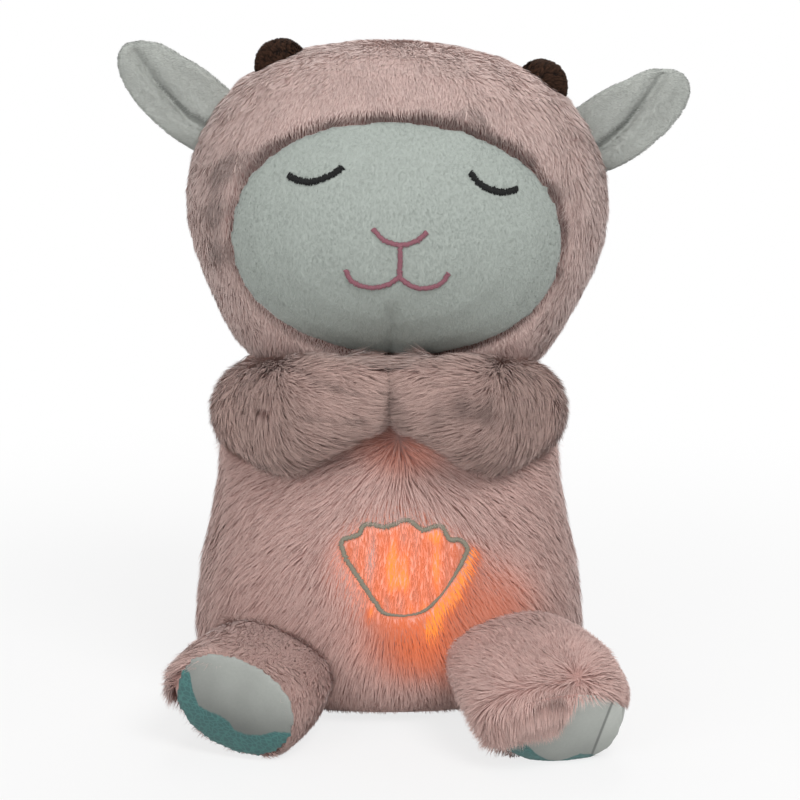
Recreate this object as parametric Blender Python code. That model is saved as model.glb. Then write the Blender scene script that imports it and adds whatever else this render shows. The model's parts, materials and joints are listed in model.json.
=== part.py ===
"""A seated plush lamb whose belly glows and breathes.

The stuffed forms are one solid each: torso, hooded head, face cushion, ears, horns, arms,
legs with sewn soles, and a padded flap that closes the pocket in the back. The pocket holds
a plastic module. Its gear motor turns a heart-shaped cam through two gear stages, the cam
slides the push plate, and the plate moves the belly panel out and in. The light dome on the
plate is also the button. The module holds the cells, circuit board, speaker and controls.

The lamb faces -Y and stands on z = 0. All sizes are in metres.
"""

import math

import bmesh
import bpy
from mathutils import Vector

# Gaps and overruns that all the pieces share, and the smallest share that is still a ring
seam_gap = 0.0003
fit_gap = 0.0003
running_gap = 0.0001
overrun = 0.002
tip_share = 0.001
sharp_angle = 38.0

# Torso
body_height = 0.156
body_half_width = 0.080
body_front = 0.068
body_back = 0.046
base_cut = 0.0005
body_roundness = 2.25
# Each row: height, half width, front and back, as shares of the four sizes above
body_shares = (
    (0.000, 0.70, 0.62, 0.66),
    (0.030, 0.87, 0.83, 0.86),
    (0.090, 0.97, 0.94, 0.96),
    (0.190, 1.00, 0.99, 1.00),
    (0.360, 0.97, 1.00, 0.99),
    (0.550, 0.89, 0.93, 0.95),
    (0.750, 0.84, 0.76, 0.87),
    (0.880, 0.77, 0.60, 0.80),
    (0.960, 0.62, 0.46, 0.62),
    (1.000, 0.36, 0.28, 0.36),
)

# Head with its hood, modelled upright and then tipped to one side about the neck
neck_height = 0.140
head_tip_angle = 3.0
head_bottom = 0.134
head_height = 0.141
head_half_width = 0.087
head_front = 0.060
head_back = 0.062
head_roundness = 2.15
head_shares = (
    (0.00, 0.00, 0.00, 0.00),
    (0.02, 0.48, 0.44, 0.46),
    (0.06, 0.66, 0.61, 0.64),
    (0.13, 0.77, 0.74, 0.76),
    (0.25, 0.87, 0.87, 0.88),
    (0.38, 0.96, 0.96, 0.96),
    (0.50, 1.00, 1.00, 1.00),
    (0.62, 0.985, 0.99, 0.99),
    (0.74, 0.92, 0.94, 0.94),
    (0.85, 0.79, 0.82, 0.82),
    (0.93, 0.59, 0.62, 0.62),
    (0.98, 0.33, 0.35, 0.35),
    (1.00, 0.00, 0.00, 0.00),
)

# Face cushion, a swelling of the head's own front, its middle at a share of the head's height
face_rise_share = 0.461
face_half_width = 0.0690
face_half_height = 0.0505
face_bulge = 0.008
face_depth = 0.010
face_gap = 0.0006
face_roundness = 2.15
face_swell_power = 0.9

# Ears: leaves that hang on the hood by a round root, placed by shares of the head's sizes
ear_across_share = 0.9023
ear_rise_share = 0.7518
ear_rise_angle = 31.0
ear_length = 0.0462
ear_half_width = 0.0150
ear_root_radius = 0.0036
ear_tip_thickness = 0.0045
ear_cup = 0.0045
ear_swing_angle = 20.0
ear_roundness = 3.0
ear_root_shares = (-0.92, -0.5)
ear_edge_share = 0.7
ear_cup_share = 0.35
ear_shares = (
    (0.00, 0.88),
    (0.12, 0.93),
    (0.30, 1.00),
    (0.50, 0.96),
    (0.70, 0.80),
    (0.86, 0.55),
    (0.96, 0.30),
    (1.00, 0.12),
)

# Horns: round domes on the crown, placed by shares of the head's sizes
horn_across_share = 0.5950
horn_rise_share = 0.8652
horn_radius = 0.0108
horn_length = 0.0175
horn_lean_angle = 17.0
horn_tip_share = 1.25
horn_fullness = 0.8
horn_steps = 5

# Arms and legs share their roundness and the step that reads a path's direction
limb_roundness = 2.2
path_step_share = 0.02

# Arms: a ball at each shoulder, then a forearm across the chest to the paw
shoulder_across = 0.0520
shoulder_forward = 0.0300
shoulder_height = 0.1260
shoulder_radius = 0.0185
paw_gap = 0.0012
paw_reach = 0.0008
paw_forward = 0.0600
paw_height = 0.1385
arm_half_height = 0.0225
arm_half_depth = 0.0155
arm_bow = 0.0150
arm_sag = 0.0030
arm_open_angle = 40.0
arm_shares = (
    (0.00, 0.80, 1.10),
    (0.14, 0.93, 1.08),
    (0.32, 1.00, 1.04),
    (0.52, 0.98, 1.00),
    (0.70, 0.88, 0.96),
    (0.84, 0.74, 0.86),
    (0.94, 0.52, 0.62),
    (0.985, 0.30, 0.36),
)

# Legs: from the hip inside the torso to the sole, each with its own lie
hip_across = 0.0430
hip_forward = 0.0260
hip_height = 0.0260
leg_half_width = 0.0305
leg_half_height = 0.0220
leg_shares = (
    (0.00, 0.70, 0.80),
    (0.20, 0.82, 0.90),
    (0.42, 0.94, 0.97),
    (0.64, 1.02, 1.00),
    (0.82, 1.03, 1.00),
    (0.93, 0.98, 0.98),
    (1.00, 0.87, 0.93),
)
left_sole_place = Vector((-0.0600, -0.1040, 0.0228))
left_sole_facing = Vector((-0.36, -0.93, -0.08))
left_leg_roll_angle = 18.0
right_sole_place = Vector((0.0660, -0.1140, 0.0187))
right_sole_facing = Vector((0.18, -0.76, -0.62))
right_leg_roll_angle = -6.0
leg_pull = 0.040
knee_share = 0.5
knee_rise_share = 0.06
ankle_pull_share = 0.2
sole_thickness = 0.0022
sole_dome = 0.0030
sole_shares = ((0.0, 0.90), (0.45, 1.00), (1.0, 0.90))
sole_dome_shares = ((0.45, 0.66), (0.85, 0.34), (1.0, 0.0))

# Belly opening and the panel that moves in it
belly_height = 0.068
belly_radius = 0.0350
belly_inner_plane = 0.0525
breath_travel = 0.006

# Module housing, a box with rounded upright corners
module_half_width = 0.040
module_bottom = 0.024
module_top = 0.106
module_front = 0.034
module_split = -0.006
module_back = -0.028
module_corner = 0.006
module_wall = 0.002
pocket_gap = 0.0005

# Flap over the back of the pocket, with its hook and loop strips
flap_half_width = 0.046
flap_bottom = 0.010
flap_top = 0.112
flap_thickness = 0.004
flap_open_angle = 100.0
strip_half_width = 0.026
strip_bottom = 0.0125
strip_top = 0.0205
strip_thickness = 0.0012

# Gears, with their axes one under the other and parallel to X
gear_module = 0.0008
tooth_gap = 0.0003
pressure_angle = 20.0
addendum_share = 0.92
dedendum_share = 1.2
root_share = 0.86
pinion_teeth = 10
wheel_teeth = 32
small_teeth = 10
cam_gear_teeth = 36
gear_axis_y = -0.016
gear_width = 0.004
gear_step = 0.001
cam_half_width = 0.0025
cam_least_radius = 0.0070
hub_radius = 0.0045
hub_length = 0.0055
shaft_radius = 0.0010
compound_shaft_radius = 0.0010
motor_shaft_radius = 0.0015

# Push plate with its follower, guide posts and springs
plate_radius = 0.0320
plate_thickness = 0.0025
plate_rest_gap = 0.0030
roller_radius = 0.0025
roller_pin_radius = 0.0009
cheek_thickness = 0.0022
cheek_half_height = 0.0040
cheek_end = 0.0028
guide_across = 0.0258
guide_radius = 0.0022
guide_reach = 0.0200
guide_collar = 0.0018
guide_sleeve = 0.0030
clip_radius = 0.0042
clip_thickness = 0.0012
spring_turns = 5
spring_wire = 0.00035

# Foam ring, light board, lamps, switch and dome
foam_radius = 0.0320
foam_bore = 0.0195
dome_radius = 0.0160
dome_flange = 0.0185
dome_wall = 0.0014
dome_flange_thickness = 0.0012
dome_press = 0.0015
board_radius = 0.0150
board_thickness = 0.0010
lamp_count = 2
lamp_ring = 0.0100
lamp_turn_share = 0.25
lamp_size = 0.0030
lamp_height = 0.0014
switch_size = 0.0060
switch_height = 0.0032
switch_stem = 0.0017
switch_stem_height = 0.0008

# Frame that carries the gears and the motor
frame_thickness = 0.0020
frame_left = -0.0120
frame_right = 0.0185
frame_bottom = 0.0265
frame_top = 0.0800
frame_front = 0.0285
frame_back = -0.0008
motor_width = 0.0120
motor_height = 0.0100
gearbox_length = 0.0090
motor_length = 0.0150
motor_can_share = 0.98
motor_sides = 16

# Cells, contacts and their bay
cell_radius = 0.00725
cell_length = 0.0500
cell_count = 3
cell_pitch = 0.0153
cell_nub_radius = 0.0027
cell_nub_length = 0.0012
bay_half_width = 0.0305
bay_floor = -0.0083
bay_bottom = 0.0270
contact_thickness = 0.0004
contact_spring_turns = 3
contact_wire = 0.0004
contact_wide_share = 0.72
contact_narrow_share = 0.42
door_thickness = 0.0020
door_lap = 0.0020
door_top_lap = 0.0048
door_screw_radius = 0.0010
door_screw_reach = 0.0050
door_head_radius = 0.0019
screw_head_radius = 0.0024
screw_head_height = 0.0016

# Housing screws
screw_across = 0.0345
screw_inset = 0.0055
screw_radius = 0.0013
screw_reach = 0.0100
boss_radius = 0.0030
counterbore_depth = 0.0140

# Main circuit board
pcb_half_width = 0.0300
pcb_bottom = 0.0300
pcb_top = 0.1000
pcb_thickness = 0.0016
pcb_behind_frame = 0.0008

# Speaker
speaker_radius = 0.0125
speaker_rim = 0.0014
speaker_depth = 0.0085
magnet_radius = 0.0070
basket_straight_share = 0.30
basket_back_share = 0.55
cone_seat_share = 0.25
cone_back_share = 0.50
cone_face_share = 0.32
cone_slope_share = 0.40
cone_cap_radius = 0.0040
grille_slots = 5
grille_slot_width = 0.0016
grille_slot_pitch = 0.0040
grille_half_height = 0.0080

# Slide switch and push buttons on the module's back
slide_across = 0.0255
slide_inset = 0.0100
slide_travel = 0.0020
slide_knob_half_width = 0.0020
slide_knob_half_height = 0.0015
slide_knob_reach = 0.0026
slide_body_half_width = 0.0060
slide_body_half_height = 0.0030
slide_body_depth = 0.0040
button_across = -0.0240
button_heights = (0.0850, 0.0960)
button_radius = 0.0032
button_reach = 0.0016
button_press = 0.0008
button_flange = 0.0010
button_stem = 0.0035

# Numbers of sides and steps
body_sides, body_steps = 32, 17
head_sides, head_steps = 32, 17
face_sides, face_steps = 32, 10
limb_sides, limb_steps = 16, 11
ball_sides, ball_steps = 18, 9
ear_sides, ear_steps = 14, 8
small_sides = 14
screw_sides = 10
bore_sides = 12
guide_sides = 16
plate_sides = 28
lamp_board_sides = 24
speaker_sides = 20
corner_steps = 4
dome_steps = 4
cam_steps = 24
hinge_steps = 200
groove_steps = 6
wire_sides = 4
wire_points = 8


# Names, materials and links


def clear_scene():
    """Remove every object, mesh and curve."""
    for thing in list(bpy.data.objects):
        bpy.data.objects.remove(thing, do_unlink=True)


def material(name, colour, roughness, metallic=0.0, glow=None):
    """A Principled material with one colour."""
    made = bpy.data.materials.get(name)
    if made:
        return made
    made = bpy.data.materials.new(name)
    made.use_nodes = True
    shader = made.node_tree.nodes["Principled BSDF"]
    shader.inputs["Base Color"].default_value = (*colour, 1.0)
    shader.inputs["Roughness"].default_value = roughness
    shader.inputs["Metallic"].default_value = metallic
    if glow:
        shader.inputs["Emission Color"].default_value = (*glow, 1.0)
        shader.inputs["Emission Strength"].default_value = 1.0
    made.diffuse_color = (*colour, 1.0)
    return made


def pink_fur():
    return material("pink fur", (0.52, 0.31, 0.29), 0.95)


def hood_plush():
    return material("pale pink plush", (0.60, 0.41, 0.39), 0.95)


def white_plush():
    return material("white plush", (0.62, 0.66, 0.64), 0.95)


def brown_plush():
    return material("brown plush", (0.045, 0.018, 0.010), 0.95)


def sole_fabric():
    return material("printed sole fabric", (0.58, 0.60, 0.57), 0.8)


def belly_fur():
    return material("belly fur", (0.62, 0.33, 0.27), 0.95, glow=(0.9, 0.25, 0.06))


def lining():
    return material("pink lining", (0.50, 0.34, 0.33), 0.9)


def white_plastic():
    return material("white plastic", (0.78, 0.78, 0.76), 0.45)


def grey_plastic():
    return material("grey plastic", (0.20, 0.20, 0.21), 0.5)


def gear_plastic():
    return material("acetal", (0.86, 0.85, 0.80), 0.4)


def steel():
    return material("steel", (0.55, 0.55, 0.56), 0.3, 1.0)


def nickel():
    return material("nickel plate", (0.62, 0.60, 0.55), 0.3, 1.0)


def pivot(name, place, parent=None):
    """An empty on a joint's axis, for the pieces that move about it or along it."""
    empty = bpy.data.objects.new(name, None)
    empty.location = place
    empty.empty_display_size = shoulder_radius
    bpy.context.scene.collection.objects.link(empty)
    if parent:
        empty.parent = parent
        empty.location = Vector(place) - Vector(parent["rest_place"])
    empty["rest_place"] = Vector(place)
    return empty


def mesh_piece(name, points, faces, finish, carrier=None, smooth=True):
    """An object from points in world places, carried by an empty where one is given."""
    mesh = bpy.data.meshes.new(name)
    origin = Vector(carrier["rest_place"]) if carrier else Vector()
    mesh.from_pydata([Vector(p) - origin for p in points], [], faces)
    body = bmesh.new()
    body.from_mesh(mesh)
    bmesh.ops.recalc_face_normals(body, faces=body.faces)
    body.to_mesh(mesh)
    body.free()
    mesh.update()
    piece = bpy.data.objects.new(name, mesh)
    bpy.context.scene.collection.objects.link(piece)
    piece.data.materials.append(finish)
    if carrier:
        piece.parent = carrier
    if smooth:
        mesh.shade_smooth()
        mesh.set_sharp_from_angle(angle=math.radians(sharp_angle))
    return piece


def guide_only(piece):
    """Mark a piece as a cutter."""
    piece.hide_render = True
    piece.display_type = "WIRE"
    return piece


def combine(target, tool, operation, solver="EXACT"):
    """Add a Boolean modifier that cuts, joins or keeps what two pieces share."""
    change = target.modifiers.new(tool.name, "BOOLEAN")
    change.operation = operation
    change.solver = solver
    change.object = tool
    return target


def cut(target, *tools):
    for tool in tools:
        combine(target, guide_only(tool), "DIFFERENCE")
    return target


def join(target, *tools):
    for tool in tools:
        combine(target, guide_only(tool), "UNION")
    return target


def keep(target, *tools):
    for tool in tools:
        combine(target, guide_only(tool), "INTERSECT")
    return target


def grown(piece, distance, name=None):
    """A cutter with a piece's own form, moved out along its normals by a distance."""
    cutter = piece.copy()
    cutter.data = piece.data.copy()
    cutter.modifiers.clear()
    cutter.name = name or piece.name + "_clearance"
    bpy.context.scene.collection.objects.link(cutter)
    normals = [v.normal.copy() for v in cutter.data.vertices]
    for vertex, normal in zip(cutter.data.vertices, normals):
        vertex.co += normal * distance
    cutter.data.update()
    return guide_only(cutter)


# Form makers


def smooth_rows(rows, steps):
    """Rows of shares read along a smooth curve through them, with even steps between the ends."""
    places = []
    spans = len(rows) - 1
    for k in range(steps + 1):
        t = k / steps * spans
        i = min(int(t), spans - 1)
        f = t - i
        before = rows[max(i - 1, 0)]
        after = rows[min(i + 2, spans)]
        row = []
        for a, b, c, d in zip(before, rows[i], rows[i + 1], after):
            bend = 2 * b + (c - a) * f + (2 * a - 5 * b + 4 * c - d) * f**2
            row.append((bend + (3 * b - a - 3 * c + d) * f**3) / 2)
        places.append(tuple(row))
    return places


def oval(centre, across, up, half_across, half_up, half_down, roundness, sides):
    """A ring of points on a rounded oval whose upper and lower halves may differ."""
    points = []
    for k in range(sides):
        angle = 2 * math.pi * (k + 0.5) / sides
        c, s = math.cos(angle), math.sin(angle)
        x = math.copysign(abs(c) ** (2 / roundness), c) * half_across
        y = math.copysign(abs(s) ** (2 / roundness), s) * (half_up if s > 0 else half_down)
        points.append(centre + across * x + up * y)
    return points


def loft(name, rings, finish, carrier=None):
    """A closed solid through rings of points; a ring of one point is a tip."""
    points, faces, starts = [], [], []
    for ring in rings:
        starts.append(len(points))
        points.extend(ring)
    for i in range(len(rings) - 1):
        low, high = rings[i], rings[i + 1]
        a, b = starts[i], starts[i + 1]
        sides = max(len(low), len(high))
        for k in range(sides):
            n = (k + 1) % sides
            if len(low) == 1:
                faces.append((a, b + k, b + n))
            elif len(high) == 1:
                faces.append((a + k, a + n, b))
            else:
                faces.append((a + k, a + n, b + n, b + k))
    if len(rings[0]) > 1:
        faces.append(tuple(range(len(rings[0])))[::-1])
    if len(rings[-1]) > 1:
        faces.append(tuple(range(starts[-1], len(points))))
    return mesh_piece(name, points, faces, finish, carrier)


def upright_form(name, shares, sizes, bottom, roundness, sides, steps, finish, carrier=None):
    """A stuffed form of ovals stacked along Z, from rows of shares."""
    height, half_width, front, back = sizes
    rings = []
    for high, wide, ahead, behind in smooth_rows(shares, steps):
        centre = Vector((0, 0, bottom + high * height))
        if wide <= tip_share:
            rings.append([centre])
            continue
        size = (wide * half_width, ahead * front, behind * back)
        rings.append(oval(centre, Vector((1, 0, 0)), Vector((0, -1, 0)), *size, roundness, sides))
    return loft(name, rings, finish, carrier)


def turned(name, profile, place, facing, finish, carrier=None, sides=small_sides):
    """A turned solid from (distance along, radius) pairs, closed as a ring where both ends are open."""
    along = Vector(facing).normalized()
    side = along.orthogonal().normalized()
    other = along.cross(side)
    points, faces, rows = [], [], []
    for far, radius in profile:
        centre = Vector(place) + along * far
        rows.append(len(points))
        if radius == 0:
            points.append(centre)
            continue
        for k in range(sides):
            angle = 2 * math.pi * k / sides
            points.append(centre + (side * math.cos(angle) + other * math.sin(angle)) * radius)
    closed = profile[0][1] > 0 and profile[-1][1] > 0
    spans = list(zip(range(len(profile)), range(1, len(profile))))
    if closed:
        spans.append((len(profile) - 1, 0))
    for i, j in spans:
        a, b = rows[i], rows[j]
        for k in range(sides):
            n = (k + 1) % sides
            if profile[i][1] == 0:
                faces.append((a, b + n, b + k))
            elif profile[j][1] == 0:
                faces.append((a + k, b, a + n))
            else:
                faces.append((a + k, b + k, b + n, a + n))
    return mesh_piece(name, points, faces, finish, carrier)


def rod(name, start, end, radius, finish, carrier=None, sides=small_sides):
    """A plain round bar between two places."""
    start, end = Vector(start), Vector(end)
    length = (end - start).length
    profile = ((0, 0), (0, radius), (length, radius), (length, 0))
    return turned(name, profile, start, end - start, finish, carrier, sides)


def block(name, low, high, finish, carrier=None, corner=0.0):
    """A box between two corners, its edges along Y rounded where a radius is given."""
    low, high = Vector(low), Vector(high)
    outline = []
    if corner:
        for quarter, (x, z) in enumerate(
            ((high.x, high.z), (low.x, high.z), (low.x, low.z), (high.x, low.z))
        ):
            cx = x - math.copysign(corner, x - (low.x + high.x) / 2)
            cz = z - math.copysign(corner, z - (low.z + high.z) / 2)
            for k in range(corner_steps + 1):
                angle = math.pi / 2 * (quarter + k / corner_steps)
                outline.append((cx + corner * math.cos(angle), cz + corner * math.sin(angle)))
    else:
        outline = [(high.x, high.z), (low.x, high.z), (low.x, low.z), (high.x, low.z)]
    count = len(outline)
    points = [(x, low.y, z) for x, z in outline] + [(x, high.y, z) for x, z in outline]
    faces = [tuple(range(count)), tuple(range(count, 2 * count))[::-1]]
    for k in range(count):
        n = (k + 1) % count
        faces.append((k, n, count + n, count + k))
    return mesh_piece(name, points, faces, finish, carrier, smooth=bool(corner))


def slab(name, outline, x_low, x_high, finish, carrier=None):
    """A solid with one outline in Y and Z, between two places along X."""
    count = len(outline)
    points = [(x_low, y, z) for y, z in outline] + [(x_high, y, z) for y, z in outline]
    faces = [tuple(range(count))[::-1], tuple(range(count, 2 * count))]
    for k in range(count):
        n = (k + 1) % count
        faces.append((k, n, count + n, count + k))
    return mesh_piece(name, points, faces, finish, carrier, smooth=False)


def coil(name, start, facing, length, first_radius, last_radius, turns, wire, finish, carrier=None):
    """A wire wound about a line, as one unbroken tube."""
    along = Vector(facing).normalized()
    side = along.orthogonal().normalized()
    other = along.cross(side)
    count = turns * wire_points + 1
    route = []
    for k in range(count):
        share = k / (count - 1)
        angle = 2 * math.pi * turns * share
        radius = first_radius + (last_radius - first_radius) * share
        spoke = side * math.cos(angle) + other * math.sin(angle)
        route.append(Vector(start) + along * length * share + spoke * radius)
    rings = []
    for k, point in enumerate(route):
        ahead = (route[min(k + 1, count - 1)] - route[max(k - 1, 0)]).normalized()
        out = (along - ahead * along.dot(ahead)).normalized()
        beside = ahead.cross(out)
        ring = []
        for n in range(wire_sides):
            angle = 2 * math.pi * n / wire_sides
            ring.append(point + (out * math.cos(angle) + beside * math.sin(angle)) * wire)
        rings.append(ring)
    return loft(name, rings, finish, carrier)


# Stuffed forms


def make_body():
    sizes = (body_height, body_half_width, body_front, body_back)
    return upright_form(
        "body", body_shares, sizes, -base_cut, body_roundness, body_sides, body_steps, pink_fur()
    )


def make_head(carrier):
    sizes = (head_height, head_half_width, head_front, head_back)
    return upright_form(
        "head",
        head_shares,
        sizes,
        head_bottom,
        head_roundness,
        head_sides,
        head_steps,
        hood_plush(),
        carrier,
    )


def head_place(across_share, rise_share):
    """A place in the head's middle plane, by shares of its half width and height."""
    return Vector((head_half_width * across_share, 0, head_bottom + head_height * rise_share))


def head_depth(across, height):
    """How far the head's front stands ahead of its middle at a place seen from the front."""
    rise = (height - head_bottom) / head_height
    rows = smooth_rows(head_shares, head_steps)
    for low, high in zip(rows, rows[1:]):
        if low[0] <= rise <= high[0]:
            part = (rise - low[0]) / (high[0] - low[0])
            wide = head_half_width * (low[1] + (high[1] - low[1]) * part)
            deep = head_front * (low[2] + (high[2] - low[2]) * part)
            out = min(abs(across) / wide, 1)
            return deep * (1 - out**head_roundness) ** (1 / head_roundness)
    return 0


def make_face(carrier):
    """An oval of the head's front that swells forward, with a flatter back inside the head."""
    rings = []
    for k in range(face_steps + 1):
        angle = math.pi * k / face_steps
        spread = math.sin(angle) ** face_swell_power
        ahead = math.cos(angle) * (face_bulge if k < face_steps / 2 else face_depth)
        middle = head_place(0, face_rise_share)
        ring = [middle]
        if k not in (0, face_steps):
            half_high = face_half_height * spread
            size = (face_half_width * spread, half_high, half_high)
            across, up = Vector((1, 0, 0)), Vector((0, 0, 1))
            ring = oval(middle, across, up, *size, face_roundness, face_sides)
        rings.append([p - Vector((0, head_depth(p.x, p.z) + ahead, 0)) for p in ring])
    return loft("face_panel", rings, white_plush(), carrier)


def ear_axes(side):
    """The root's middle, the way the leaf points, and its width, for one side (-1 or 1)."""
    rise = math.radians(ear_rise_angle)
    root = head_place(side * ear_across_share, ear_rise_share)
    out = Vector((side * math.cos(rise), 0, math.sin(rise)))
    return root, out, Vector((-side * math.sin(rise), 0, math.cos(rise)))


def make_ear(name, side, carrier):
    root, out, wide = ear_axes(side)
    front = Vector((0, -1, 0))
    rings = []
    for share in ear_root_shares:
        thick = ear_root_radius * math.sqrt(1 - share**2)
        centre = root + out * ear_root_radius * share
        half = ear_half_width * ear_shares[0][1]
        rings.append(oval(centre, wide, front, half, thick, thick, ear_roundness, ear_sides))
    for far, width in smooth_rows(ear_shares, ear_steps):
        thick = ear_root_radius + (ear_tip_thickness / 2 - ear_root_radius) * far
        if far > ear_shares[-2][0]:
            thick *= ear_edge_share
        centre = root + out * ear_length * far
        half = ear_half_width * width
        ring = oval(centre, wide, front, half, thick, thick, ear_roundness, ear_sides)
        bend = ear_cup * math.sin(math.pi / 2 * min(far * 2, 1))
        for k, point in enumerate(ring):
            off = (point - centre).dot(wide) / ear_half_width
            ring[k] = point + front * bend * (off**2 - ear_cup_share)
        rings.append(ring)
    return loft(name, rings, white_plush(), carrier)


def ear_groove(name, side, carrier):
    """A groove for the ear's round root, which opens into a fan as wide as the ear swings."""
    root, out, wide = ear_axes(side)
    front = Vector((0, -1, 0))
    radius = ear_root_radius + seam_gap
    swing = math.radians(ear_swing_angle)
    start, end = math.pi / 2 + swing, math.pi * 1.5 - swing
    section = []
    for k in range(groove_steps + 1):
        angle = start + (end - start) * k / groove_steps
        section.append((radius * math.cos(angle), radius * math.sin(angle)))
    reach = ear_length / 2
    low, high = section[-1], section[0]
    section.append((low[0] + reach * math.cos(swing), low[1] - reach * math.sin(swing)))
    section.append((high[0] + reach * math.cos(swing), high[1] + reach * math.sin(swing)))
    half = ear_half_width * ear_shares[1][1] + seam_gap
    rings = []
    for end_share in (-1, 1):
        middle = root + wide * half * end_share
        rings.append([middle + out * a + front * b for a, b in section])
    return loft(name, rings, lining(), carrier)


def make_horn(name, side, carrier):
    lean = math.radians(horn_lean_angle)
    up = Vector((side * math.sin(lean), 0, math.cos(lean)))
    place = head_place(side * horn_across_share, horn_rise_share) - up * horn_radius
    whole = horn_length + horn_radius
    profile = [(0, 0), (0, horn_radius)]
    for k in range(1, horn_steps):
        angle = math.pi / 2 * k / horn_steps
        far = whole - horn_radius * horn_tip_share * (1 - math.sin(angle))
        profile.append((far, horn_radius * math.cos(angle) ** horn_fullness))
    profile.append((whole, 0))
    return turned(name, profile, place, up, brown_plush(), carrier)


def arm_path(side, t):
    """A place on the arm's centreline, from the shoulder at 0 to the paw's tip at 1."""
    shoulder = Vector((side * shoulder_across, -shoulder_forward, shoulder_height))
    paw = Vector((side * paw_reach, -paw_forward, paw_height))
    swell = math.sin(math.pi * t)
    place = shoulder.lerp(paw, t)
    return place + Vector((0, -arm_bow * swell, -arm_sag * swell))


def make_arm(name, side, carrier):
    rings = []
    for t, high, deep in smooth_rows(arm_shares, limb_steps):
        here = arm_path(side, t)
        ahead = arm_path(side, t + path_step_share) - arm_path(side, t - path_step_share)
        ahead.normalize()
        across = ahead.cross(Vector((0, 0, 1))).normalized()
        up = across.cross(ahead)
        half = arm_half_height * high
        size = (arm_half_depth * deep, half, half)
        rings.append(oval(here, across, up, *size, limb_roundness, limb_sides))
    rings.append([arm_path(side, 1.0)])
    arm = loft(name, rings, pink_fur(), carrier)
    ball = shoulder_ball(name + "_ball", side, 0, carrier)
    return join(arm, ball)


def shoulder_ball(name, side, gap, carrier=None):
    """The ball about the arm's axis, or its clearance in the torso and head."""
    place = Vector((side * shoulder_across, -shoulder_forward, shoulder_height))
    radius = shoulder_radius + gap
    profile = [(-radius, 0)]
    for k in range(1, ball_steps):
        angle = math.pi * k / ball_steps
        profile.append((-radius * math.cos(angle), radius * math.sin(angle)))
    profile.append((radius, 0))
    return turned(name, profile, place, (0, 0, 1), pink_fur(), carrier, ball_sides)


def make_leg(name, side, sole, facing, roll):
    """A leg from the hip to the sole's back, and the sole panel on its end."""
    facing = facing.normalized()
    hip = Vector((side * hip_across, -hip_forward, hip_height))
    ankle = sole - facing * leg_pull
    knee = hip.lerp(ankle, knee_share) + Vector((0, 0, leg_half_height * knee_rise_share))
    turn = math.radians(roll)

    def place(t):
        """A smooth path through hip, knee and ankle that ends square to the sole."""
        a, b, c, d = hip, knee, ankle + facing * leg_pull * ankle_pull_share, sole
        return a * (1 - t) ** 3 + b * 3 * t * (1 - t) ** 2 + c * 3 * t**2 * (1 - t) + d * t**3

    def frame(ahead):
        across = ahead.cross(Vector((0, 0, 1))).normalized()
        up = across.cross(ahead)
        across, up = (
            across * math.cos(turn) + up * math.sin(turn),
            up * math.cos(turn) - across * math.sin(turn),
        )
        return across, up

    rings = []
    for t, wide, high in smooth_rows(leg_shares, limb_steps):
        ahead = place(t + path_step_share) - place(t)
        if t > knee_share:
            ahead = place(t) - place(t - path_step_share)
        across, up = frame(ahead.normalized() if t < 1 else facing)
        half = leg_half_height * high
        size = (leg_half_width * wide, half, half)
        rings.append(oval(place(t), across, up, *size, limb_roundness, limb_sides))
    leg = loft(name + "_leg", rings, pink_fur())

    across, up = frame(facing)
    start = sole + facing * seam_gap
    end_wide, end_high = leg_shares[-1][1:]
    rings = []
    for far, share in sole_shares:
        centre = start + facing * sole_thickness * far
        wide = leg_half_width * end_wide * share
        half = leg_half_height * end_high * share
        rings.append(oval(centre, across, up, wide, half, half, limb_roundness, limb_sides))
    for far, share in sole_dome_shares:
        centre = start + facing * (sole_thickness + sole_dome * far)
        if share == 0:
            rings.append([centre])
            continue
        wide = leg_half_width * end_wide * share
        half = leg_half_height * end_high * share
        rings.append(oval(centre, across, up, wide, half, half, limb_roundness, limb_sides))
    loft(name + "_sole", rings, sole_fabric())
    return leg


def make_belly_panel(body, carrier):
    """The round of the torso's own surface that the push plate moves."""
    start = (0, -belly_inner_plane, belly_height)
    end = (0, -body_front - overrun, belly_height)
    panel = rod("belly_panel", start, end, belly_radius, belly_fur(), carrier, body_sides)
    return keep(panel, grown(body, 0, "belly_form"))


def shell_patch(name, body, x_half, low, high, outer, inner, finish, carrier=None):
    """Part of the torso's back skin between two depths under its surface."""
    corner = Vector((x_half, body_back + overrun, high))
    patch = block(name, (-x_half, 0, low), corner, finish, carrier)
    if outer is not None:
        keep(patch, grown(body, -outer, name + "_outer"))
    return cut(patch, grown(body, -inner, name + "_inner"))


def make_flap(body, carrier):
    """The padded back flap, and the strips that hold it shut."""
    flap = shell_patch(
        "back_flap",
        body,
        flap_half_width,
        flap_bottom,
        flap_top,
        0,
        flap_thickness,
        lining(),
        carrier,
    )
    recess = shell_patch(
        "flap_recess",
        body,
        flap_half_width + seam_gap,
        flap_bottom - seam_gap,
        flap_top + seam_gap,
        None,
        flap_thickness + seam_gap,
        lining(),
    )
    cut(body, recess)
    loop_inner = flap_thickness
    loop_outer = loop_inner - strip_thickness
    hook_outer = flap_thickness + seam_gap
    hook_inner = hook_outer + strip_thickness
    size = (strip_half_width, strip_bottom, strip_top)
    room = (strip_half_width + seam_gap, strip_bottom - seam_gap, strip_top + seam_gap)
    shell_patch("loop_strip", body, *size, loop_outer, loop_inner, lining(), carrier)
    shell_patch("hook_strip", body, *size, hook_outer, hook_inner, lining())
    cut(
        flap,
        shell_patch(
            "loop_room",
            body,
            *room,
            loop_outer - seam_gap,
            loop_inner + seam_gap,
            lining(),
        ),
    )
    cut(
        body,
        shell_patch(
            "hook_room",
            body,
            *room,
            flap_thickness - seam_gap,
            hook_inner + seam_gap,
            lining(),
        ),
    )
    return flap


# Housing


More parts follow.
